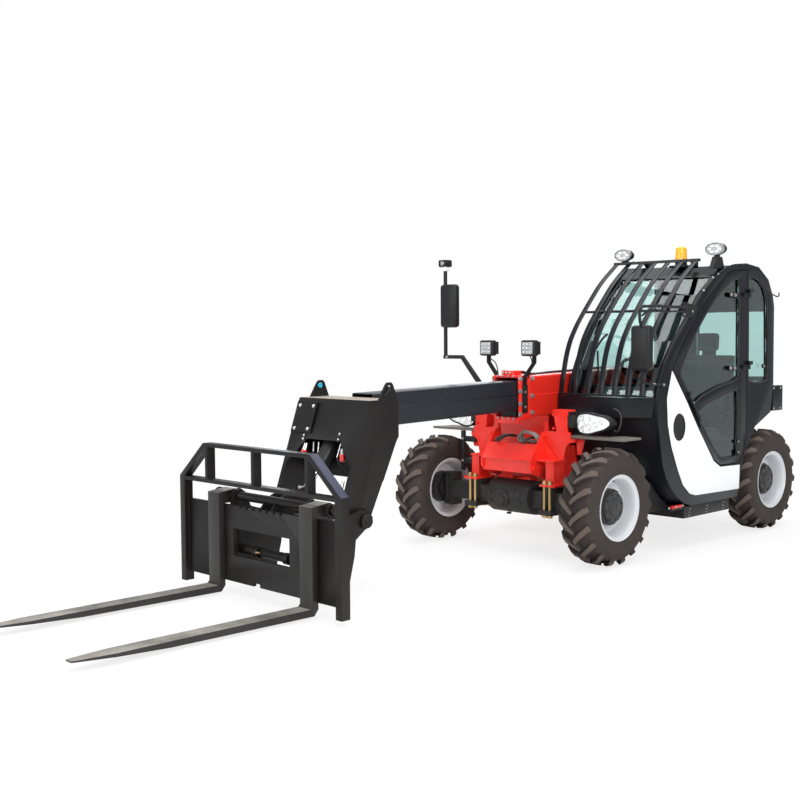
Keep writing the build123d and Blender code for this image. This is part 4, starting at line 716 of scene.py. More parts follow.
UPPER_PANE = [(1512, 1880), (1412, 1866), (1290, 1798), (1170, 1713), (1060, 1620), (985, 1546), (880, 1425), (790, 1310),
              (735, 1215), (860, 1060), (904, 1004), (1017, 1052), (1211, 1105), (1512, 1163)]
LOWER_PANE = [(1506, 1078), (1300, 1047), (1094, 1000), (958, 938), (1010, 870), (1185, 665), (1265, 603), (1500, 596)]
DOORWAY = [(1622, 1952), (1400, 1944), (1330, 1916), (1205, 1830), (1083, 1746), (978, 1664), (884, 1567), (790, 1470),
           (705, 1366), (634, 1255), (812, 1030), (966, 826), (1165, 594), (1255, 546), (1532, 539), (1579, 596), (1622, 655)]
cab_low, cab_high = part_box("cab_shell")
REAR_WALL = (cab_high.y - FRONT_AXLE_Y) * 1000
QUARTER_PANE = [(1650, 1898), (REAR_WALL - 240, 1882), (REAR_WALL - 149, 1822), (REAR_WALL - 108, 1735), (REAR_WALL - 94, 1136), (1656, 1132)]


def gasket_ring(bm, points, x, radius, paint=0):
    """A closed seal that turns each corner of the pane in a short arc."""
    route = []
    for before, here, after in zip(points[-1:] + points[:-1], points, points[1:] + points[:1]):
        for other in (before, after):
            gap = hypot(other[0] - here[0], other[1] - here[1])
            share = min(0.3, 16 / gap)
            route.append((here[0] + (other[0] - here[0]) * share, here[1] + (other[1] - here[1]) * share))
    tube(bm, [mm(x, s, z) for s, z in route], radius, closed=True, paint=paint, fine=3, ring=1)


bm = bmesh.new()
gasket_ring(bm, UPPER_PANE, 827, 6.5)
gasket_ring(bm, LOWER_PANE, 827, 6.5)
finished(bm, "door_gaskets", gasket, body_of("door_frame"), slot_of["cab_panes"], soft=True)
bm = bmesh.new()
gasket_ring(bm, QUARTER_PANE, 827, 6.5)
low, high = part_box("windscreen")
rear = [mm(x, REAR_WALL + 1, z) for x, z in ((190, 1154), (762, 1154), (766, 1158), (766, 1652), (762, 1656), (190, 1656), (186, 1652), (186, 1158))]
tube(bm, rear, 6, closed=True, fine=3, ring=1)
finished(bm, "cab_gaskets", gasket, body_of("cab_shell"), slot_of["cab_panes"], soft=True)
print("gaskets placed, rear wall at", round(REAR_WALL))

# %% [markdown]
# The door hangs on two cast hinges with a strap bolted to the door and a knuckle on the
# pillar. A grab handle, a lock barrel and a striker sit on the slanted front rail.

# %% Door hardware
OUTWARD = Vector((1, 0, 0))
bm = bmesh.new()
for knuckle_z in (1240, 1766):
    side_plate(bm, [(1372, knuckle_z - 13), (1372, knuckle_z + 13), (1400, knuckle_z + 17), (1560, knuckle_z - 8), (1560, knuckle_z - 26),
                    (1400, knuckle_z - 17)], 831.5, 838)
    for s, rise in ((1388, 0), (1446, -3)):
        bolt(bm, mm(837, s, knuckle_z + rise), OUTWARD, 19, 9, paint=1)
side_plate(bm, [(828, 1078), (858, 1092), (872, 1074), (842, 1060)], 830.5, 846)
tube(bm, [mm(834, 846, 1070), mm(850, 838, 1050), mm(852, 900, 968), mm(850, 962, 894), mm(834, 976, 876)], 7)
rod(bm, mm(830, 888, 1008), mm(845, 888, 1008), 14, 12, paint=1)
block(bm, (830.5, 839), (1488, 1526), (608, 640), ease=2)
block(bm, (830.5, 838), (1490, 1522), (690, 712), ease=2)
bolt(bm, mm(838, 1507, 624), OUTWARD, 11, 5, paint=1)
bolt(bm, mm(837, 1507, 701), OUTWARD, 11, 5, paint=1)
finished(bm, "door_hardware", [moulding, zinc], body_of("door_frame"), slot_of["door_frame"], round_by=0.8, angle=45)

# %% Latch, rear hook and roof bolts on the cab
bm = bmesh.new()
block(bm, (830, 843), (1846, 1874), (1228, 1258), ease=4)
rod(bm, mm(838, 1860, 1243), mm(848, 1860, 1243), 8, 7, paint=1)
tube(bm, [mm(800, 2016, 1779), mm(800, 2060, 1782), mm(800, 2110, 1770), mm(800, 2158, 1772), mm(800, 2166, 1796)], 5)
for s, z in ((1154, 1892), (1223, 1919), (1033, 1800)):
    bolt(bm, mm(828, s, z - 12), OUTWARD, 13, 6, paint=1)
for s in (612, 700, 782):
    bolt(bm, mm(829, s, 309), OUTWARD, 11, 5, paint=1)
finished(bm, "cab_hardware", [moulding, zinc], body_of("cab_shell"), slot_of["cab_shell"], round_by=0.8, angle=45)
print("door and cab hardware made")

# %% [markdown]
# The big white side panel carries one oval air intake. Its rim is a spun ring, squeezed to an
# oval, and behind it lie narrow slats. The panel itself stays bare.

# %% Air intake on the side panel
bm = bmesh.new()
spun(bm, [(0, 84), (5, 82), (6, 76), (4, 71), (-1, 70)], mm(838, 717, 854), OUTWARD, steps=40)
rod(bm, mm(836.5, 717, 854), mm(838.4, 717, 854), 80, sides=40, paint=1)
for k in range(-4, 5):
    half = 68 * sqrt(max(0.0, 1 - (k * 14 / 70) ** 2))
    block(bm, (838, 841), (717 - half, 717 + half), (854 + k * 14 - 3, 854 + k * 14 + 3), paint=0)
oval = Matrix.Translation(mm(0, 717, 854)) @ Matrix.Diagonal((1, 0.86, 1.12, 1)) @ Matrix.Translation(-mm(0, 717, 854))
bmesh.ops.transform(bm, matrix=oval, verts=bm.verts)
finished(bm, "air_intake", [moulding, louvre], body_of("cab_side_panel"), slot_of["cab_side_panel"], angle=40)

# %% [markdown]
# The wiper has a motor spindle above the screen's lower corner, a thin sprung arm and a rubber
# blade that lies along the glass, so its line follows the guard side of the screen.

# %% Wiper
bm = bmesh.new()
rod(bm, mm(409, 452, 984), mm(409, 492, 990), 12)
tube(bm, [mm(409, 448, 986), mm(396, 458, 1040), mm(330, 500, 1200), mm(270, 566, 1370)], 7, paint=0)
tube(bm, [mm(222, 480, 1240), mm(246, 528, 1330), mm(282, 600, 1450), mm(300, 640, 1490)], 8, paint=1)
finished(bm, "wiper", [moulding, gasket], body_of("cab_shell"), slot_of["cab_shell"], soft=True)

# %% [markdown]
# The near mirror hangs on a bent tube that leaves the pillar, runs far forward and turns down
# to the housing. A second tube below it makes a loop that stiffens the arm. The housing is a
# block with generous rounds and a glass let into the side that faces the driver.

# %% Mirrors
bm = bmesh.new()
side_plate(bm, [(752, 1603), (752, 1703), (792, 1703), (960, 1672), (930, 1643), (893, 1603)], 830.4, 836)
block(bm, (834, 846), (760, 802), (1655, 1681), ease=2)
tube(bm, [mm(843, 796, 1668), mm(842, 600, 1668), mm(838, 330, 1668), mm(834, 262, 1655), mm(820, 268, 1600), mm(800, 322, 1520)], 10)
tube(bm, [mm(841, 786, 1640), mm(838, 560, 1636), mm(832, 330, 1632), mm(822, 292, 1606)], 7)
rod(bm, mm(839, 501, 1634), mm(839, 501, 1666), 6)
block(bm, (722, 872), (298, 362), (1245, 1545), ease=24)
tube(bm, [mm(800, 332, 1258), mm(804, 342, 1180), mm(815, 372, 1160), mm(840, 500, 1150)], 8.5)
block(bm, (830.4, 846), (488, 545), (1136, 1164), ease=2)
for place, axis in ((mm(836, 419, 1158), Vector((0, 0, 1))), (mm(845, 515, 1150), OUTWARD), (mm(835, 776, 1620), OUTWARD), (mm(835, 880, 1640), OUTWARD)):
    bolt(bm, place, axis, 12, 6, paint=1)
block(bm, (736, 858), (361, 363.5), (1262, 1528), paint=2)
finished(bm, "near_mirror", [moulding, zinc, mirror_face], body_of("mirrors"), slot_of["mirrors"], "mirrors", round_by=1.0, angle=50)
bm = bmesh.new()
plate(bm, [mm(x, 48, z) for x, z in ((-360, 1005), (-395, 1005), (-395, 1130), (-560, 1318), (-735, 1318), (-735, 1345), (-548, 1345), (-360, 1142))],
      Vector((0, 0.022, 0)))
rod(bm, mm(-721, 60, 1331), mm(-721, 60, 1962), 14, sides=20)
block(bm, (-760, -686), (24, 98), (1988, 2039), ease=8)
block(bm, (-750, -696), (34, 88), (1958, 1992), paint=3, ease=8)
rod(bm, mm(-721, 25, 2014), mm(-721, 23.4, 2014), 16, sides=24, paint=2)
block(bm, (-738, -704), (46, 74), (1640, 1720), ease=3)
block(bm, (-755, -600), (28, 92), (1545, 1860), ease=24)
block(bm, (-742, -614), (91, 93.4), (1562, 1843), paint=2)
block(bm, (-395, -360), (40, 117), (985.4, 1010))
for x, z in ((-378, 1040), (-378, 1100), (-700, 1331)):
    bolt(bm, mm(x, 49, z), Vector((0, -1, 0)), 14, 7, paint=1)
finished(bm, "far_mirror", [moulding, zinc, mirror_face, white_paint], body_of("mirrors"), slot_of["mirrors"], round_by=1.0, angle=50)

# %% [markdown]
# Roof lamps are ovals with a bright rim. The beacon stands on a short pole: a black base, an
# amber dome with ribs all round, and a cap.

# %% Roof lamps and beacon
FORWARD = Vector((0, -1, 0))
bm = bmesh.new()
for x, s, z, half_w, half_h, floor in ((786, 1279, 2087, 80, 46, 1950), (200, 1003, 2061, 75, 44, 2012)):
    before = set(bm.verts)
    spun(bm, [(38, 0.5), (38, 60), (41, 66), (36, 74), (4, 74), (-22, 62), (-36, 34), (-38, 0.5)], mm(x, s, z), FORWARD, steps=36)
    spun(bm, [(41.5, 67), (42, 72), (36, 75), (33, 73)], mm(x, s, z), FORWARD, steps=36, closed=True, paint=1)
    rod(bm, mm(x, s - 37.5, z), mm(x, s - 39.5, z), 62, sides=36, paint=2)
    for k in range(6):
        spot = Matrix.Rotation(k * pi / 3, 3, "Y") @ Vector((0.036, 0, 0))
        rod(bm, mm(x, s - 39, z) + spot, mm(x, s - 41, z) + spot, 13, sides=14, paint=3)
    squeeze = Matrix.Translation(mm(x, s, z)) @ Matrix.Diagonal((half_w / 75.2, 1, half_h / 75.2, 1)) @ Matrix.Translation(-mm(x, s, z))
    bmesh.ops.transform(bm, matrix=squeeze, verts=[v for v in bm.verts if v not in before])
    block(bm, (x - 14, x + 14), (s - 18, s + 18), (floor, z - half_h + 6), ease=2)
    side_plate(bm, [(s - 78, floor), (s - 34, z - half_h - 8), (s + 40, z - half_h - 8), (s + 66, floor + 14), (s + 66, floor)] if x > 500 else
               [(s - 24, floor), (s - 20, z - half_h + 4), (s + 20, z - half_h + 4), (s + 24, floor)], x - 18, x + 18)
finished(bm, "roof_lamps", [moulding, fittings, reflector, led_white], body_of("roof_lights"), slot_of["roof_lights"], "roof_lights", angle=35)
low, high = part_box("roof_lights")
bm = bmesh.new()
base = 1966
block(bm, (452, 588), (1182, 1288), (base, base + 16), ease=2)
spun(bm, [(0, 0.5), (0, 43), (6, 43.5), (44, 42), (48, 36), (48, 0.5)], mm(520, 1235, base + 12), Vector((0, 0, 1)), steps=36)
spun(bm, [(0, 0.5), (0, 41.5), (70, 41), (88, 38), (95, 28), (96, 0.5)], mm(520, 1235, 2020), Vector((0, 0, 1)), steps=48, paint=1)
for k in range(16):
    out = Matrix.Rotation(k * pi / 8, 3, "Z") @ Vector((0.0412, 0, 0))
    rod(bm, mm(520, 1235, 2026) + out, mm(520, 1235, 2076) + out * 0.97, 1.7, sides=6, paint=1)
finished(bm, "beacon", [moulding, amber], body_of("roof_lights"), slot_of["roof_lights"], angle=35)
print("roof lamps, beacon and mirrors made")

# %% [markdown]
# Where the inner boom leaves the outer one, a heavy collar holds the wear pads. It carries
# adjusting screws on its side, a lip below and a small valve block on top. Each long side of
# both booms shows the weld bead that joins the two folded halves. The boom is tilted by a small
# angle, so a helper gives the height of a line that runs along it.

# %% Boom seams and collar screws
SLOPE = radians(1.5)


def boom_z(s, lift):
    """Height of a line that runs along the boom, lift above its axis."""
    return 1123 + (lift - (2170 - s) * sin(SLOPE)) / cos(SLOPE)


outer_body, inner_body = body_of("outer_boom"), body_of("inner_boom")
bm = bmesh.new()
for side in (1, -1):
    rod(bm, mm(108 * side, 30, boom_z(30, 6)), mm(108 * side, 1500, boom_z(1500, 6)), 3.2, sides=8)
    for s, lift in ((-94, 128), (32, 124), (-94, 42), (-94, -40), (32, 6), (-94, -112), (32, -108)):
        bolt(bm, mm(116 * side, s, boom_z(s, lift)), Vector((side, 0, 0)), 25, 12, paint=1)
    low_lip = boom_z(-60, -150)
    block(bm, (70 * side, 110 * side) if side > 0 else (110 * side, 70 * side), (-106, -14), (low_lip - 6, low_lip + 4), ease=1)
for x in (-70, -24, 24, 70):
    bolt(bm, mm(x, -108, boom_z(-108, 146)), Vector((0, -1, 0)), 12, 6, paint=1)
    bolt(bm, mm(x, -108, boom_z(-108, -142)), Vector((0, -1, 0)), 12, 6, paint=1)
finished(bm, "boom_seams", [red_paint, fittings], outer_body, slot_of["outer_boom"], angle=35)
bm = bmesh.new()
top = boom_z(-60, 150)
block(bm, (-52, 46), (-86, -22), (top - 3, top + 34), ease=3)
for x in (-34, -4, 26):
    rod(bm, mm(x, -86, top + 16), mm(x, -100, top + 16), 8, sides=6, paint=1)
    rod(bm, mm(x, -22, top + 16), mm(x, -8, top + 16), 8, sides=6, paint=1)
    tube(bm, [mm(x, -8, top + 16), mm(x, 40, top + 22), mm(x * 0.7, 120, boom_z(120, 152)), mm(x * 0.6, 420, boom_z(420, 149)),
              mm(x * 0.6, 980, boom_z(980, 149))], 6, paint=2, ring=2, fine=5)
finished(bm, "collar_valve", [fittings, zinc, gasket], outer_body, slot_of["outer_boom"], round_by=0.8, angle=45)
bm = bmesh.new()
for side in (1, -1):
    rod(bm, mm(94 * side, -1400, boom_z(-1400, 20)), mm(94 * side, -130, boom_z(-130, 20)), 2.6, sides=8)
finished(bm, "inner_boom_seams", boom_paint, inner_body, slot_of["inner_boom"], soft=True)
print("collar top at z", round(top))

# %% [markdown]
# The boom's head is a box of thick plate with a slanted front. Bolts hold a cover on the far
# side of that front, quick couplings with red caps hang under it, thin steel pipes drop into
# the mouth, and a shackle hangs in the near lifting ear.

# %% Head: cover, couplings and pipes
head_body = body_of("boom_head")
FACE_NORMAL = Vector((0, -cos(atan2(0.347, 1)), -sin(atan2(0.347, 1))))


def on_face(x, z, proud=0.0):
    """Point on the head's slanted front."""
    return mm(x, -1664 + 0.347 * (z - 1121), z) + FACE_NORMAL * (proud / 1000)


coupling_red = coat("coupling_red", (0.62, 0.012, 0.010), 0.34, dust=0.02)
bm = bmesh.new()
plate(bm, [on_face(-300, 1102), on_face(-118, 1102), on_face(-118, 922), on_face(-300, 922)], FACE_NORMAL * 0.004)
for x, z in ((-266, 1076), (-143, 1076), (-268, 942), (-146, 943)):
    bolt(bm, on_face(x, z, 4), FACE_NORMAL, 16, 8, paint=1)
for x, z in ((-168, 905), (-168, 884), (144, 927), (143, 896)):
    bolt(bm, on_face(x, z, 0.5), FACE_NORMAL, 11, 6, paint=1)
for (x0, s0, z0), (x1, s1, z1) in (((-173, -1739, 847), (-176, -1767, 766)), ((164, -1744, 832), (181, -1767, 766))):
    start, end = mm(x0, s0 + 20, z0 + 8), mm(x1, s1 + 20, z1 + 8)
    middle = start.lerp(end, 0.5)
    rod(bm, start, middle, 15, 17, sides=20, paint=1)
    rod(bm, middle, end, 19, 15, sides=20, paint=2)
for (x0, s0, z0), (x1, s1, z1) in (((-116, -1738, 850), (-99, -1753, 807)), ((-70, -1737, 853), (-56, -1754, 803)), ((126, -1735, 858), (120, -1760, 787))):
    rod(bm, mm(x0, s0 + 30, z0 + 14), mm(x1, s1 + 26, z1), 5, paint=1)
    tube(bm, [mm(x1, s1 + 26, z1 + 6), mm(x1 * 1.15, s1 + 30, z1 - 30), mm(x1 * 1.55, s1 + 70, z1 - 90)], 6, paint=3, ring=2)
rod(bm, mm(237, -1790, 669), mm(240, -1806, 624), 9, sides=12, paint=1)
finished(bm, "head_fittings", [carriage_paint, zinc, coupling_red, gasket], head_body, slot_of["boom_head"], angle=35)

lift_blue = coat("plug_blue", (0.02, 0.42, 0.62), 0.35, dust=0.02)
bm = bmesh.new()
rod(bm, mm(-316, -1504, 1188), mm(-292, -1504, 1188), 16, sides=24)
finished(bm, "ear_plug", lift_blue, head_body, slot_of["boom_head"], round_by=1.5)
bm = bmesh.new()
rod(bm, mm(288, -1504, 1188), mm(330, -1504, 1188), 9, sides=16)
tube(bm, [mm(292, -1504, 1190), mm(292, -1522, 1176), mm(300, -1538, 1152), mm(316, -1540, 1146), mm(326, -1530, 1160), mm(326, -1506, 1188)], 6)
finished(bm, "ear_shackle", moulding, head_body, slot_of["boom_head"], soft=True)
bm = bmesh.new()
for side in (1, -1):
    out = Vector((side, 0, 0))
    spun(bm, [(0, 0.5), (0, 40), (6, 40), (10, 37), (10, 12), (13, 10), (13, 0.5)], mm(354 * side, -1725, 445), out, steps=36)
    tube(bm, [mm(318 * side, -1790, 474), mm(318 * side, -1764, 506), mm(318 * side, -1725, 516), mm(318 * side, -1688, 502)], 4, ring=2, fine=5)
finished(bm, "tilt_pin_flanges", carriage_paint, body_of("carriage"), slot_of["carriage"], angle=35)
print("head fitted")

# %% [markdown]
# Hoses run out of the head's mouth to the tilt cylinder and the carriage. They are fixed at
# both ends and ride with the head. Each is a smooth curve with a bright crimped ferrule.

# %% Hoses in the head
bm = bmesh.new()
for x, bulge in ((-110, 8), (-84, 16), (84, 10), (112, 18)):
    lane = x + (30 if x > 0 else -30)
    route = [mm(x, -1480, 1000), mm(lane, -1540 - bulge, 930), mm(lane * 1.1, -1590 - bulge, 850), mm(lane * 1.25, -1600, 780), mm(lane * 1.5, -1560, 740)]
    tube(bm, route, 10, ring=2, fine=6)
    rod(bm, mm(x, -1466, 1018), mm(x, -1484, 996), 12, sides=14, paint=1)
finished(bm, "head_hoses", [gasket, zinc], head_body, slot_of["boom_head"], soft=True)

# %% [markdown]
# The carriage's plate and posts are flame-cut and welded. Beads run where the bars meet the
# posts, collars hold the fork shaft, and a brass grease fitting sits on the cross tube. Each
# fork hangs on an eye with a flat washer on either side of it.

# %% Carriage fittings
carriage_body = body_of("carriage")
bm = bmesh.new()
for x in (-506, -334, 334, 506):
    spun(bm, [(-7, 27), (-7, 38), (7, 38), (7, 27)], mm(x, -2110, 565), OUTWARD, steps=28, closed=True)
for x0, x1 in ((-170, -128), (104, 146)):
    spun(bm, [(0, 27.3), (0, 33), (x1 - x0, 33), (x1 - x0, 27.3)], mm(x0, -2100, 255), OUTWARD, steps=28, closed=True)
rod(bm, mm(-135, -2128, 262), mm(-100, -2128, 262), 7, 5, sides=12, paint=1)
for x in (-716, 658):
    tube(bm, [mm(x, -2188, 84), mm(x, -2189, 300), mm(x, -2188, 516)], 4, ring=2, fine=4)
finished(bm, "carriage_fittings", [carriage_paint, brass], carriage_body, slot_of["carriage"], angle=35)
print("carriage fitted")

# %% [markdown]
# Long studs clamp each side of the axle between the frame's foot and a plate below it. The
# studs and nuts are yellow plated, and the clamp plates are black like the axle, so one piece
# with two finishes stands for the node.

# %% Axle studs and clamp plates
UPRIGHT = Vector((0, 0, 1))
stud_low, stud_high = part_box("axle_studs")
STUD_TOP = stud_high.z * 1000
bm = bmesh.new()
for side in (1, -1):
    for x in (310, 356):
        for s in (-77, 77):
            rod(bm, mm(side * x, s, 268), mm(side * x, s, STUD_TOP), 10.5, sides=16)
            for z in range(500, int(STUD_TOP) - 3, 4):
                rod(bm, mm(side * x, s, z), mm(side * x, s, z + 2), 11, sides=16)
            for z0, z1 in ((492, 508), (272, 289)):
                rod(bm, mm(side * x, s, z0), mm(side * x, s, z1), 19, sides=6)
                rod(bm, mm(side * x, s, z1 - 1), mm(side * x, s, z1 + 1.5), 16, sides=20)
            rod(bm, mm(side * x, s, 492), mm(side * x, s, 494), 21, sides=24)
    wide = sorted((side * 280, side * 386))
    block(bm, wide, (-105, 105), (288, 321.5), paint=1)
finished(bm, "clamp_studs", [brass, axle_paint], body_of("axle_studs"), slot_of["axle_studs"], "axle_studs", round_by=1.0, angle=50)
print("stud top", round(STUD_TOP))

# %% [markdown]
# The axle's cast centre has a round boss with a ring of screws, a fill plug, a breather and a
# drain. Cap screws dot the flange of the housing.

# %% Axle boss and screws
bm = bmesh.new()
spun(bm, [(0, 66), (5, 66), (9, 62), (9, 48), (14, 45), (14, 31), (9, 29), (9, 0.5)], mm(-44, -108, 365), FORWARD, steps=36)
for k in range(8):
    arm = Matrix.Rotation(k * pi / 4 + 0.3, 3, "Y") @ Vector((0.056, 0, 0))
    bolt(bm, mm(-44, -116, 365) + arm, FORWARD, 11, 6, paint=1)
for x, z in ((-150, 400), (-150, 345), (60, 440), (120, 400), (120, 350), (60, 300)):
    bolt(bm, mm(x, -114 + abs(z - 380) * 0.18, z), FORWARD, 13, 7, paint=1)
rod(bm, mm(-38, -30, 266), mm(-38, -30, 254), 17, sides=6)
finished(bm, "axle_screws", [axle_paint, hub_paint], body_of("front_axle"), slot_of["front_axle"], round_by=0.7, angle=45)

# %% [markdown]
# The red front frame is held by large bolts with washers. Between its cheeks, grey corrugated
# conduit makes a few turns, and black hoses drop from the boom's foot to the axle.

# %% Front frame bolts and hoses
frame_body = body_of("front_frame")
bm = bmesh.new()
for place, axis in ((mm(221, 40, 805), OUTWARD), (mm(221, -87, 592), OUTWARD), (mm(-221, 5, 792), -OUTWARD), (mm(-221, 40, 805), -OUTWARD),
                    (mm(-221, -87, 592), -OUTWARD)):
    rod(bm, place - axis * 0.002, place + axis * 0.003, 21, sides=24)
    bolt(bm, place + axis * 0.003, axis, 26, 12)
for side in (1, -1):
    for x in (300, 390):
        for z in (860, 950):
            bolt(bm, mm(side * x, 31, z), FORWARD, 14, 7)
finished(bm, "frame_bolts", red_paint, frame_body, slot_of["front_frame"], angle=35)
conduit = coat("grey_conduit", (0.16, 0.16, 0.15), 0.6, dust=0.10, grain=260, bump=0.25)
bm = bmesh.new()
for turn in range(3):
    lean = turn * 14
    tube(bm, [mm(10 + lean, 18 + lean, 764), mm(30, 10 + lean, 806 + lean * 0.5), mm(94, 0 + lean, 824), mm(156, 4 + lean, 806), mm(178, 16 + lean, 768),
              mm(150, 30 + lean, 758), mm(92, 36 + lean, 760), mm(40, 30 + lean, 757)], 9, closed=True, ring=2, fine=5)
finished(bm, "conduit_turns", conduit, frame_body, slot_of["front_frame"], soft=True)
bm = bmesh.new()
for x, reach in ((-150, 0), (-118, 22), (128, 8)):
    tube(bm, [mm(x, 150, 776), mm(x, 70 + reach, 788), mm(x * 0.9, -20, 778), mm(x * 0.9, -64, 757)], 9, ring=2, fine=6)
for side in (1, -1):
    tube(bm, [mm(side * 210, 120, 560), mm(side * 262, 150, 520), mm(side * 330, 150, 470), mm(side * 420, 120, 440), mm(side * 500, 70, 430)], 9, ring=2, fine=6)
tube(bm, [mm(700, 155, 1000), mm(742, 152, 985), mm(760, 150, 950), mm(752, 150, 890), mm(728, 150, 852), mm(704, 152, 862)], 6, ring=2)
finished(bm, "front_hoses", gasket, frame_body, slot_of["front_frame"], soft=True)
bm = bmesh.new()
block(bm, (-564, -532), (50, 72), (510, 798), ease=3)
block(bm, (-532, -425), (52, 70), (560, 600), ease=2)
block(bm, (-532, -425), (52, 70), (720, 760), ease=2)
bolt(bm, mm(-548, 50, 740), FORWARD, 14, 7, paint=1)
bolt(bm, mm(-548, 50, 580), FORWARD, 14, 7, paint=1)
finished(bm, "far_lamp_post", [moulding, zinc], frame_body, slot_of["front_frame"], round_by=0.8, angle=45)
print("front frame fitted")

# %% [markdown]
# A headlamp is a swept-back moulding: a black shell, a bright reflector bowl with round LED
# cups towards the middle of the machine, and a clear cover over all of it. The fender below it
# is a thin black blade.

# %% Headlamps
LAMP_OUTLINE = [(456, 944), (452, 892), (470, 846), (530, 828), (620, 846), (700, 874), (732, 908), (706, 940), (610, 962), (510, 970)]
LAMP_MIDDLE = (578, 900)


def teardrop(bm, side, share, s0, s1, ease, paint=0):
    """Smooth closed outline, filled and given a thickness from s0 to s1 with an eased rim."""
    cx, cz = LAMP_MIDDLE
    outline = [(side * (cx + (x - cx) * share) / 1000, (cz + (z - cz) * share) / 1000, 0) for x, z in LAMP_OUTLINE]
    mesh = curve_mesh(outline, True, {"dimensions": "2D", "fill_mode": "BOTH", "extrude": (s1 - s0) / 2000 - ease / 1000,
                                      "bevel_depth": ease / 1000, "offset": -ease / 1000, "bevel_resolution": 3, "resolution_u": 8})
    middle = mm(0, (s0 + s1) / 2, 0)
    mesh.transform(Matrix(((1, 0, 0, 0), (0, 0, 1, middle.y), (0, 1, 0, 0), (0, 0, 0, 1))))
    take_in(bm, mesh, paint)


bm = bmesh.new()
for side in (1, -1):
    teardrop(bm, side, 1.0, 86, 149, 9)
    teardrop(bm, side, 0.93, 83.5, 90, 1.5, paint=1)
    teardrop(bm, side, 0.95, 73, 79, 2.6, paint=3)
    for x, z, r in ((496, 898, 27), (552, 880, 23), (606, 896, 20), (504, 940, 14), (560, 930, 14), (650, 912, 15), (500, 856, 14)):
        spun(bm, [(0, r - 5), (3.6, r), (3.6, r - 2.5), (0.6, r - 7)], mm(side * x, 84.2, z), FORWARD, steps=24, closed=True, paint=4)
        rod(bm, mm(side * x, 84, z), mm(side * x, 82, z), r * 0.5, sides=16, paint=2)
    cx, cz = LAMP_MIDDLE
    tube(bm, [mm(side * (cx + (x - cx) * 0.965), 80, cz + (z - cz) * 0.965) for x, z in LAMP_OUTLINE], 6, closed=True, ring=2, fine=6)
    block(bm, sorted((side * 380, side * 458)), (42.5, 86), (870, 950), ease=2)
headlamp_cover = glassy("headlamp_cover", (1.0, 1.0, 1.0), 0.03, 1.0)
headlamp_cover.node_tree.nodes["Principled BSDF"].inputs["IOR"].default_value = 1.08
bright_bowl = coat("lamp_bowl", (0.90, 0.91, 0.92), 0.28, dust=0.0, variation=0.03)
finished(bm, "headlamp_pair", [moulding, bright_bowl, led_white, headlamp_cover, chrome], body_of("headlamps"), slot_of["headlamps"],
         "headlamps", round_by=2.5, angle=50)

# %% [markdown]
# A square work lamp stands over each side of the collar on a flat bent strip. Its face has
# nine round LEDs behind a clear cover, and the back has cooling fins.

# %% Boom work lamps
bm = bmesh.new()
for side in (1, -1):
    x0, x1 = sorted((side * 116.8, side * 122.8))
    foot = [mm(side * x, -70, z) for x, z in ((116.8, 960), (122.8, 960), (122.8, 1198), (205.8, 1300), (205.8, 1345), (198.8, 1345),
                                               (198.8, 1303), (116.8, 1204))]
    plate(bm, foot, Vector((0, 0.040, 0)))
    block(bm, sorted((side * 116.8, side * 126.8)), (-75, -25), (960, 1150), ease=2)
    for z in (1000, 1100):
        bolt(bm, mm(side * 126.6, -50, z), OUTWARD * side, 15, 7, paint=1)
    middle = side * 185
    block(bm, sorted((middle - 60, middle + 60)), (-104, -50), (1345, 1453), ease=14)
    for fin in range(7):
        x = middle - 48 + fin * 16
        block(bm, (x - 2.5, x + 2.5), (-52, -24), (1356, 1442), ease=1)
    block(bm, sorted((middle - 45, middle + 45)), (-106.5, -103), (1359, 1439), paint=2, ease=1)
    for row in range(3):
        for column in range(3):
            cup = mm(middle - 28 + column * 28, -106.5, 1373 + row * 26)
            rod(bm, cup, cup + FORWARD * 0.0015, 12, sides=18, paint=3)
            rod(bm, cup + FORWARD * 0.0015, cup + FORWARD * 0.0025, 5, sides=12, paint=4)
    tube(bm, [mm(middle - 44, -48, 1360), mm(middle - 40, -14, 1330), mm(side * 160, -24, 1290), mm(side * 132, -30, 1190)], 4, ring=2, fine=5)
finished(bm, "work_lamps", [moulding, zinc, reflector, chrome, led_white], body_of("boom_lamps"), slot_of["boom_lamps"], "boom_lamps",
         round_by=0.8, angle=45)
print("lamps made")

# %% [markdown]
# The operator's seat has a firm shell with a foam cushion and back on it. The foam is made by
# cloth simulation: a rounded block is remeshed into an even skin and blown up gently with
# pressure, so its faces crown and its sides pull in between the corners. A cap on how far any
# point may move keeps it inside the shell. The sewn piping comes after it, because remeshing
# would erase it.


# %% Seat cloth
def woven(name, colour, thread):
    finish = bpy.data.materials.new(name)
    finish.use_nodes = True
    tree = finish.node_tree
    surface = tree.nodes["Principled BSDF"]
    surface.inputs["Roughness"].default_value = 0.82
    surface.inputs["Sheen Weight"].default_value = 0.25
    where = tree.nodes.new("ShaderNodeTexCoord")
    weave = tree.nodes.new("ShaderNodeTexVoronoi")
    weave.inputs["Scale"].default_value = thread
    tree.links.new(where.outputs["Object"], weave.inputs["Vector"])
    tone = tree.nodes.new("ShaderNodeValToRGB")
    tone.color_ramp.elements[0].color = (*[c * 0.6 for c in colour], 1)
    tone.color_ramp.elements[1].color = (*[c * 1.5 for c in colour], 1)
    tree.links.new(weave.outputs["Distance"], tone.inputs["Fac"])
    tree.links.new(tone.outputs["Color"], surface.inputs["Base Color"])
    relief = tree.nodes.new("ShaderNodeBump")
    relief.inputs["Strength"].default_value = 0.25
    relief.inputs["Distance"].default_value = 0.001
    tree.links.new(weave.outputs["Distance"], relief.inputs["Height"])
    tree.links.new(relief.outputs["Normal"], surface.inputs["Normal"])
    return finish


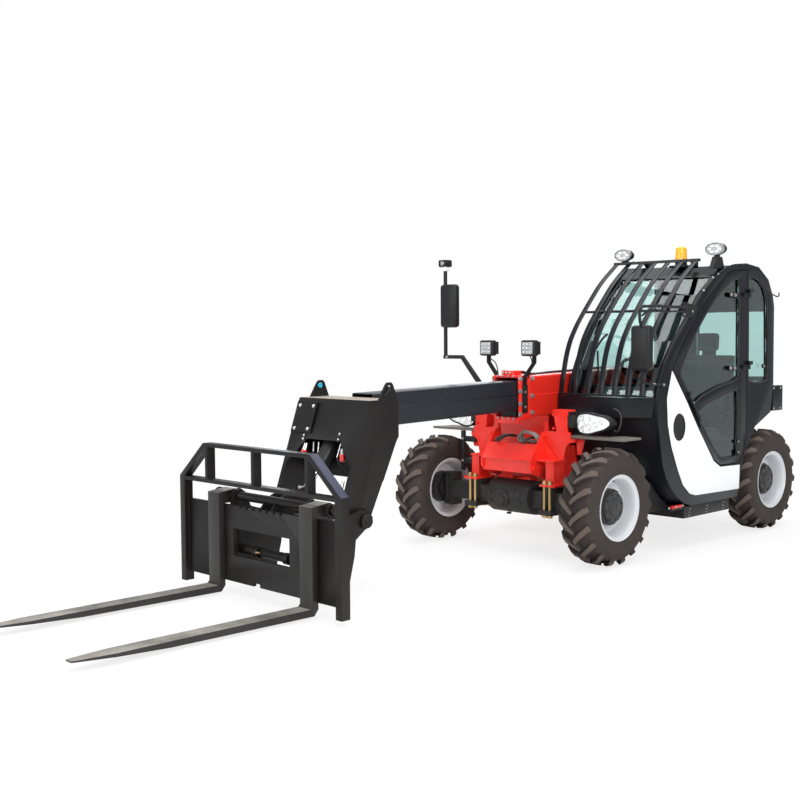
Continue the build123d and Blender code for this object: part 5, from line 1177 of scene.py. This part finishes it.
seat_cloth = woven("seat_cloth", (0.030, 0.031, 0.036), 260)
seat_piping = coat("seat_piping", (0.012, 0.012, 0.013), 0.5, dust=0.0, grain=200)

# %% Foam cushion and back
FOAM_VOXEL, FOAM_CAP = 0.012, 0.012


def foam(name, size, place, lean):
    bm = bmesh.new()
    lie = Matrix.Translation(place) @ Matrix.Rotation(lean, 4, "X")
    corners = bmesh.ops.create_cube(bm, size=1, matrix=lie @ Matrix.Diagonal((*[v / 1000 for v in size], 1)))["verts"]
    edges = list({edge for vert in corners for edge in vert.link_edges})
    bmesh.ops.bevel(bm, geom=edges, offset=0.022, segments=4, profile=0.5, affect="EDGES", material=-1)
    mesh = bpy.data.meshes.new(name)
    bm.to_mesh(mesh)
    bm.free()
    pad = bpy.data.objects.new(name, mesh)
    scene.collection.objects.link(pad)
    skin = pad.modifiers.new("even_skin", "REMESH")
    skin.mode, skin.voxel_size = "VOXEL", FOAM_VOXEL
    graph = bpy.context.evaluated_depsgraph_get()
    even = bpy.data.meshes.new_from_object(pad.evaluated_get(graph))
    pad.modifiers.clear()
    pad.data = even
    start = [vert.co.copy() for vert in even.vertices]
    cloth = pad.modifiers.new("pressure", "CLOTH")
    cloth.settings.use_pressure = True
    cloth.settings.uniform_pressure_force = 4.0
    cloth.settings.effector_weights.gravity = 0.0
    for frame_number in range(1, 21):
        scene.frame_set(frame_number)
    graph = bpy.context.evaluated_depsgraph_get()
    blown = bpy.data.meshes.new_from_object(pad.evaluated_get(graph))
    pad.modifiers.clear()
    scene.frame_set(1)
    for vert, origin in zip(blown.vertices, start):
        moved = vert.co - origin
        if moved.length > FOAM_CAP:
            vert.co = origin + moved.normalized() * FOAM_CAP
    pad.data = blown
    pad.data.name = name
    pad.data.materials.clear()
    pad.data.materials.append(seat_cloth)
    for face in pad.data.polygons:
        face.use_smooth = True
    smooth = pad.modifiers.new("smooth", "SUBSURF")
    smooth.levels = smooth.render_levels = 1
    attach(pad, body_of("seat"))
    return pad


foam("seat_cushion", (388, 372, 66), mm(495, 1352, 758), radians(-4))
foam("seat_back", (378, 62, 470), mm(495, 1596, 1064), radians(-9.5))
foam("head_rest", (176, 54, 136), mm(495, 1652, 1424), radians(-6))
print("foam pads made")

# %% [markdown]
# Under the pads are the seat's moulded shells, its suspension bellows and two armrests. Piping
# is sewn round the front edge of the cushion and of the back.

# %% Seat shells
bm = bmesh.new()
side_plate(bm, [(1134, 700), (1590, 704), (1612, 760), (1576, 768), (1550, 722), (1150, 726), (1134, 718)], 282, 708)
side_plate(bm, [(1600, 712), (1640, 718), (1689, 1318), (1650, 1326), (1626, 1200)], 290, 700)
block(bm, (440, 550), (1656, 1676), (1318, 1376), ease=4)
for k in range(5):
    inset = 10 * (k % 2)
    block(bm, (356 + inset, 634 - inset), (1186 + inset, 1534 - inset), (644 + k * 11, 655 + k * 11), ease=3)
block(bm, (424, 566), (1204, 1466), (314, 646), ease=6)
for x0 in (262, 694):
    block(bm, (x0, x0 + 34), (1330, 1600), (892, 922), ease=10)
    side_plate(bm, [(1560, 760), (1592, 760), (1600, 900), (1572, 900)], x0 + 8, x0 + 26)
finished(bm, "seat_shell", moulding, body_of("seat"), slot_of["seat"], "seat", round_by=3, angle=40)
bm = bmesh.new()
tube(bm, [mm(x, s, z) for x, s, z in ((306, 1166, 772), (684, 1166, 772), (690, 1260, 780), (690, 1530, 798), (300, 1530, 798), (300, 1260, 780))], 4.5,
     closed=True, fine=4, ring=1)
finished(bm, "seat_piping", seat_piping, body_of("seat"), slot_of["seat"], soft=True)

# %% [markdown]
# The steering wheel is a rim spun round the column's axis, with three flat spokes. The console
# behind the screen has a sloped face with a round dial and a few rocker switches. A joystick
# with a gaiter stands by the right armrest.

# %% Steering wheel and console
WHEEL_AXIS = Vector((0, 0.62, 0.78)).normalized()
wheel_centre = mm(480, 700 + 0.62 * 201, 1060 + 0.78 * 201)
dash_body = body_of("dashboard")
bm = bmesh.new()
ring = [(13 * cos(k * pi / 6), 160 + 13 * sin(k * pi / 6)) for k in range(12)]
spun(bm, ring, wheel_centre, WHEEL_AXIS, steps=48, closed=True)
spun(bm, [(-14, 0.5), (-14, 40), (8, 44), (15, 36), (15, 0.5)], wheel_centre, WHEEL_AXIS, steps=28)
out = WHEEL_AXIS.orthogonal().normalized()
for k in range(3):
    arm = Matrix.Rotation(k * 2 * pi / 3 + 0.4, 3, WHEEL_AXIS) @ out
    rod(bm, wheel_centre + arm * 0.035, wheel_centre + arm * 0.150, 11, 8, sides=10)
rod(bm, mm(480, 700, 1060), wheel_centre, 21, 19, sides=20)
finished(bm, "steering_wheel", moulding, dash_body, slot_of["dashboard"], "dashboard", angle=35)
bm = bmesh.new()
side_plate(bm, [(560, 700), (640, 640), (758, 900), (788, 1060), (702, 1118), (560, 1050)], 202, 718)
side_plate(bm, [(640, 702), (568, 500), (590, 470), (660, 560), (780, 900)], 442, 518)
slope = (mm(0, 788, 1060) - mm(0, 702, 1118)).normalized()
face_out = OUTWARD.cross(slope)
if face_out.z < 0:
    face_out = -face_out
for x, share, r in ((330, 0.5, 26), (400, 0.5, 20), (600, 0.5, 24)):
    spot = mm(x, 702, 1118) + slope * 0.052 + face_out * 0.0005
    rod(bm, spot, spot + face_out * 0.005, r, sides=24, paint=1)
    rod(bm, spot + face_out * 0.005, spot + face_out * 0.006, r - 4, sides=24, paint=2)
finished(bm, "console", [moulding, fittings, louvre], dash_body, slot_of["dashboard"], round_by=5, angle=35)
bm = bmesh.new()
stick = mm(278, 1290, 922)
spun(bm, [(0, 0.5), (0, 30), (10, 26), (14, 28), (24, 20), (30, 22), (40, 13), (46, 0.5)], stick, UPRIGHT, steps=24)
rod(bm, stick + UPRIGHT * 0.04, stick + UPRIGHT * 0.11, 7, sides=12)
spun(bm, [(0, 0.5), (0, 14), (30, 18), (52, 20), (64, 14), (68, 0.5)], stick + UPRIGHT * 0.10, UPRIGHT, steps=24)
block(bm, (250, 306), (1230, 1350), (896, 924), ease=6)
rod(bm, mm(278, 1262, 700), mm(278, 1262, 900), 12, sides=14)
finished(bm, "joystick", moulding, body_of("seat"), slot_of["seat"], soft=True)
print("cab interior made")

# %% [markdown]
# The engine sits in a box on the far side under a sheet-metal hood. Narrow pressed louvres let
# the hot air out of the hood's slope and the side, a recessed pull opens the hood, and a step
# with a raised tread is bolted below. The louvres are proud blades of sheet, one per slot.

# %% Hood and engine side
BACKWARD = Vector((0, 1, 0))
hood_body, bay_body = body_of("engine_hood"), body_of("engine_bay")
bm = bmesh.new()
top, foot = Vector((-655, 0, 1031.6)), Vector((-785, 0, 958.4))
slope_out = Vector((-0.49, 0, 0.872)).normalized()
for k in range(22):
    s = 700 + k * 26
    corners = [mm(top.x, s, top.z), mm(foot.x, s, foot.z), mm(foot.x, s + 11, foot.z), mm(top.x, s + 11, top.z)]
    plate(bm, corners, slope_out * 0.005, paint=1)
for s in (1500, 1528, 1556, 1584, 1612, 1640, 1668, 1696):
    corners = [mm(top.x, s, top.z), mm(foot.x, s, foot.z), mm(foot.x, s + 11, foot.z), mm(top.x, s + 11, top.z)]
    plate(bm, corners, slope_out * 0.005, paint=1)
tube(bm, [mm(-794, 1330, 925), mm(-812, 1340, 925), mm(-812, 1440, 925), mm(-794, 1450, 925)], 6, paint=2)
for s in (620, 1940):
    rod(bm, mm(-799, s, 926), mm(-804, s, 926), 17, sides=24, paint=2)
    rod(bm, mm(-804, s, 926), mm(-807, s, 926), 7, sides=12, paint=3)
finished(bm, "hood_fittings", [red_paint, louvre, moulding, zinc], hood_body, slot_of["engine_hood"], round_by=1.0, angle=45)
bm = bmesh.new()
for k in range(16):
    z = 470 + k * 22
    side = [(700, z), (1180, z), (1180, z + 9), (700, z + 9)]
    side_plate(bm, side, -802, -807, paint=1)
plate_edge = [(684, 456), (1196, 456), (1196, 826), (684, 826)]
tube(bm, [mm(-803, s, z) for s, z in plate_edge], 4, closed=True, ring=1, fine=2)
for s, z in plate_edge:
    bolt(bm, mm(-802, s, z), Vector((-1, 0, 0)), 13, 6, paint=2)
for k in range(18):
    block(bm, (-822, -708), (816 + k * 31, 824 + k * 31), (248, 251), paint=1)
for s in (560, 1470):
    for z in (360, 600, 860):
        bolt(bm, mm(-802, s, z), Vector((-1, 0, 0)), 15, 7, paint=2)
finished(bm, "bay_louvres", [red_paint, louvre, zinc], bay_body, slot_of["engine_bay"], round_by=0.6, angle=45)
print("engine side made")

# %% [markdown]
# Inside the box, the block gets cylinder-head ribs, a belt pulley, a fan and an air filter, so
# the engine reads as one when the hood is up. It stays a simple stand-in.

# %% Engine
bm = bmesh.new()
for k in range(12):
    block(bm, (-546, -304), (944 + k * 36, 958 + k * 36), (780, 884), ease=2)
block(bm, (-604, -246), (896, 1434), (690, 712), ease=4)
spun(bm, [(0, 0.5), (0, 74), (8, 78), (14, 70), (20, 78), (28, 74), (28, 0.5)], mm(-425, 880, 600), FORWARD, steps=36, paint=1)
for k in range(8):
    arm = Matrix.Rotation(k * pi / 4, 3, "Y") @ Vector((0.115, 0, 0))
    rod(bm, mm(-425, 842, 600) + arm * 0.3, mm(-425, 838, 600) + arm * 1.3, 16, 22, sides=8, paint=1)
spun(bm, [(0, 0.5), (0, 52), (150, 52), (158, 46), (176, 46), (180, 0.5)], mm(-620, 980, 800), BACKWARD, steps=32, paint=2)
tube(bm, [mm(-620, 1160, 800), mm(-600, 1200, 810), mm(-520, 1220, 850), mm(-470, 1200, 884)], 22, paint=2)
rod(bm, mm(-240, 1120, 520), mm(-206, 1120, 520), 44, sides=28, paint=1)
finished(bm, "engine_details", [engine_paint, fittings, moulding], body_of("engine_block"), slot_of["engine_block"], angle=40)

# %% [markdown]
# Across the tail lies a round silencer with rolled end caps and two straps. Its short pipe ends
# in a slanted cut.

# %% Silencer and pipe
low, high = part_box("exhaust")
mid_s = ((low.y + high.y) / 2 - FRONT_AXLE_Y) * 1000
bm = bmesh.new()
spun(bm, [(0, 0.5), (2, 40), (10, 60), (18, 67.5), (24, 66), (226, 66), (232, 67.5), (240, 60), (248, 40), (250, 0.5)], mm(-410, mid_s, 965), OUTWARD, steps=40)
for x in (-384, -204):
    spun(bm, [(0, 66), (0, 67.8), (20, 67.8), (20, 66)], mm(x, mid_s, 965), OUTWARD, steps=40, closed=True, paint=1)
    block(bm, (x - 2, x + 22), (mid_s - 38, mid_s + 38), (880.6, 916), paint=1, ease=2)
spun(bm, [(0, 22), (0, 26), (150, 26), (154, 24.5), (154, 21.5), (150, 22)], mm(-360, mid_s, 1025), UPRIGHT, steps=28, closed=True)
spun(bm, [(0, 22), (0, 31), (10, 31), (10, 22)], mm(-360, mid_s, 1030), UPRIGHT, steps=28, closed=True, paint=1)
finished(bm, "silencer", [heat_steel, fittings], body_of("exhaust"), slot_of["exhaust"], "exhaust", angle=35)

# %% [markdown]
# Rear lamps sit in black housings at both ends of the tail weight: a red lens, an amber one and
# a small clear one. The weight is held by four large bolts.

# %% Rear lamps and tail bolts
bm = bmesh.new()
weight_s = 2358
for side in (1, -1):
    block(bm, sorted((side * 272, side * 414)), (weight_s, weight_s + 26), (786, 862), ease=5)
    for x0, x1, paint in ((278, 330, 1), (334, 374, 2), (378, 408, 3)):
        block(bm, sorted((side * x0, side * x1)), (weight_s + 24, weight_s + 33), (792, 856), paint=paint, ease=3)
    for z in (480, 680):
        bolt(bm, mm(side * 330, weight_s, z), BACKWARD, 30, 15, paint=4)
finished(bm, "rear_lamps", [moulding, red_lens, amber, led_white, fittings], body_of("chassis_frame"), slot_of["chassis_frame"], round_by=0.8, angle=45)
bm = bmesh.new()
rod(bm, mm(0, 2390, 516), mm(0, 2390, 628), 14, sides=20)
spun(bm, [(0, 0.5), (0, 20), (6, 20), (6, 0.5)], mm(0, 2390, 620.5), UPRIGHT, steps=24)
tube(bm, [mm(0, 2380, 628), mm(-2, 2372, 650), mm(0, 2390, 664), mm(2, 2406, 650), mm(0, 2398, 628)], 4, ring=2)
finished(bm, "tow_pin", fittings, body_of("chassis_frame"), slot_of["chassis_frame"], soft=True)
bm = bmesh.new()
block(bm, (700, 812), (2178, 2184), (1030, 1074), paint=0, ease=2)
for x in (480, 796):
    for z in (916, 1070):
        bolt(bm, mm(x, 2178, z), BACKWARD, 13, 6, paint=1)
for s in (2050, 2154):
    for z in (916, 1070):
        bolt(bm, mm(826, s, z), OUTWARD, 12, 5, paint=1)
tube(bm, [mm(560, 2178, 996), mm(560, 2200, 996), mm(680, 2200, 996), mm(680, 2178, 996)], 6)
finished(bm, "tail_box_fittings", [moulding, zinc], body_of("tail_box"), slot_of["tail_box"], round_by=0.8, angle=45)
print("tail made")

# %% [markdown]
# At the cab's foot a small tank is tucked in front of the step box, following the cab's curve,
# and a red side marker glows beside it. The step has a raised tread.

# %% Tank, marker and step tread
bm = bmesh.new()
side_plate(bm, [(524, 272), (524, 466), (548, 478), (586, 470), (610, 434), (688, 362), (772, 312), (776, 272)], 566, 706)
rod(bm, mm(640, 552, 474), mm(640, 552, 494), 26, sides=28)
for k in range(12):
    arm = Matrix.Rotation(k * pi / 6, 3, "Z") @ Vector((0.026, 0, 0))
    rod(bm, mm(640, 552, 477) + arm, mm(640, 552, 493) + arm, 2.4, sides=6)
block(bm, (808, 826), (640, 792), (284, 296), ease=1)
finished(bm, "side_tank", moulding, body_of("step_box"), slot_of["step_box"], round_by=6, angle=30)
bm = bmesh.new()
block(bm, (806, 829), (652, 782), (296.5, 319), ease=5)
finished(bm, "side_marker", red_lens, body_of("step_box"), slot_of["roof_lights"], soft=True)
low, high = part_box("step_box")
step_top = high.z * 1000
bm = bmesh.new()
for k in range(3):
    for s in (868, 1090, 1312):
        bolt(bm, mm(826, s + k * 7, 232 + k * 22), OUTWARD, 7, 3)
finished(bm, "step_studs", fittings, body_of("step_box"), slot_of["step_box"], soft=True)
print("step top", round(step_top), "z")

# %% Update the view layer
bpy.context.view_layer.update()
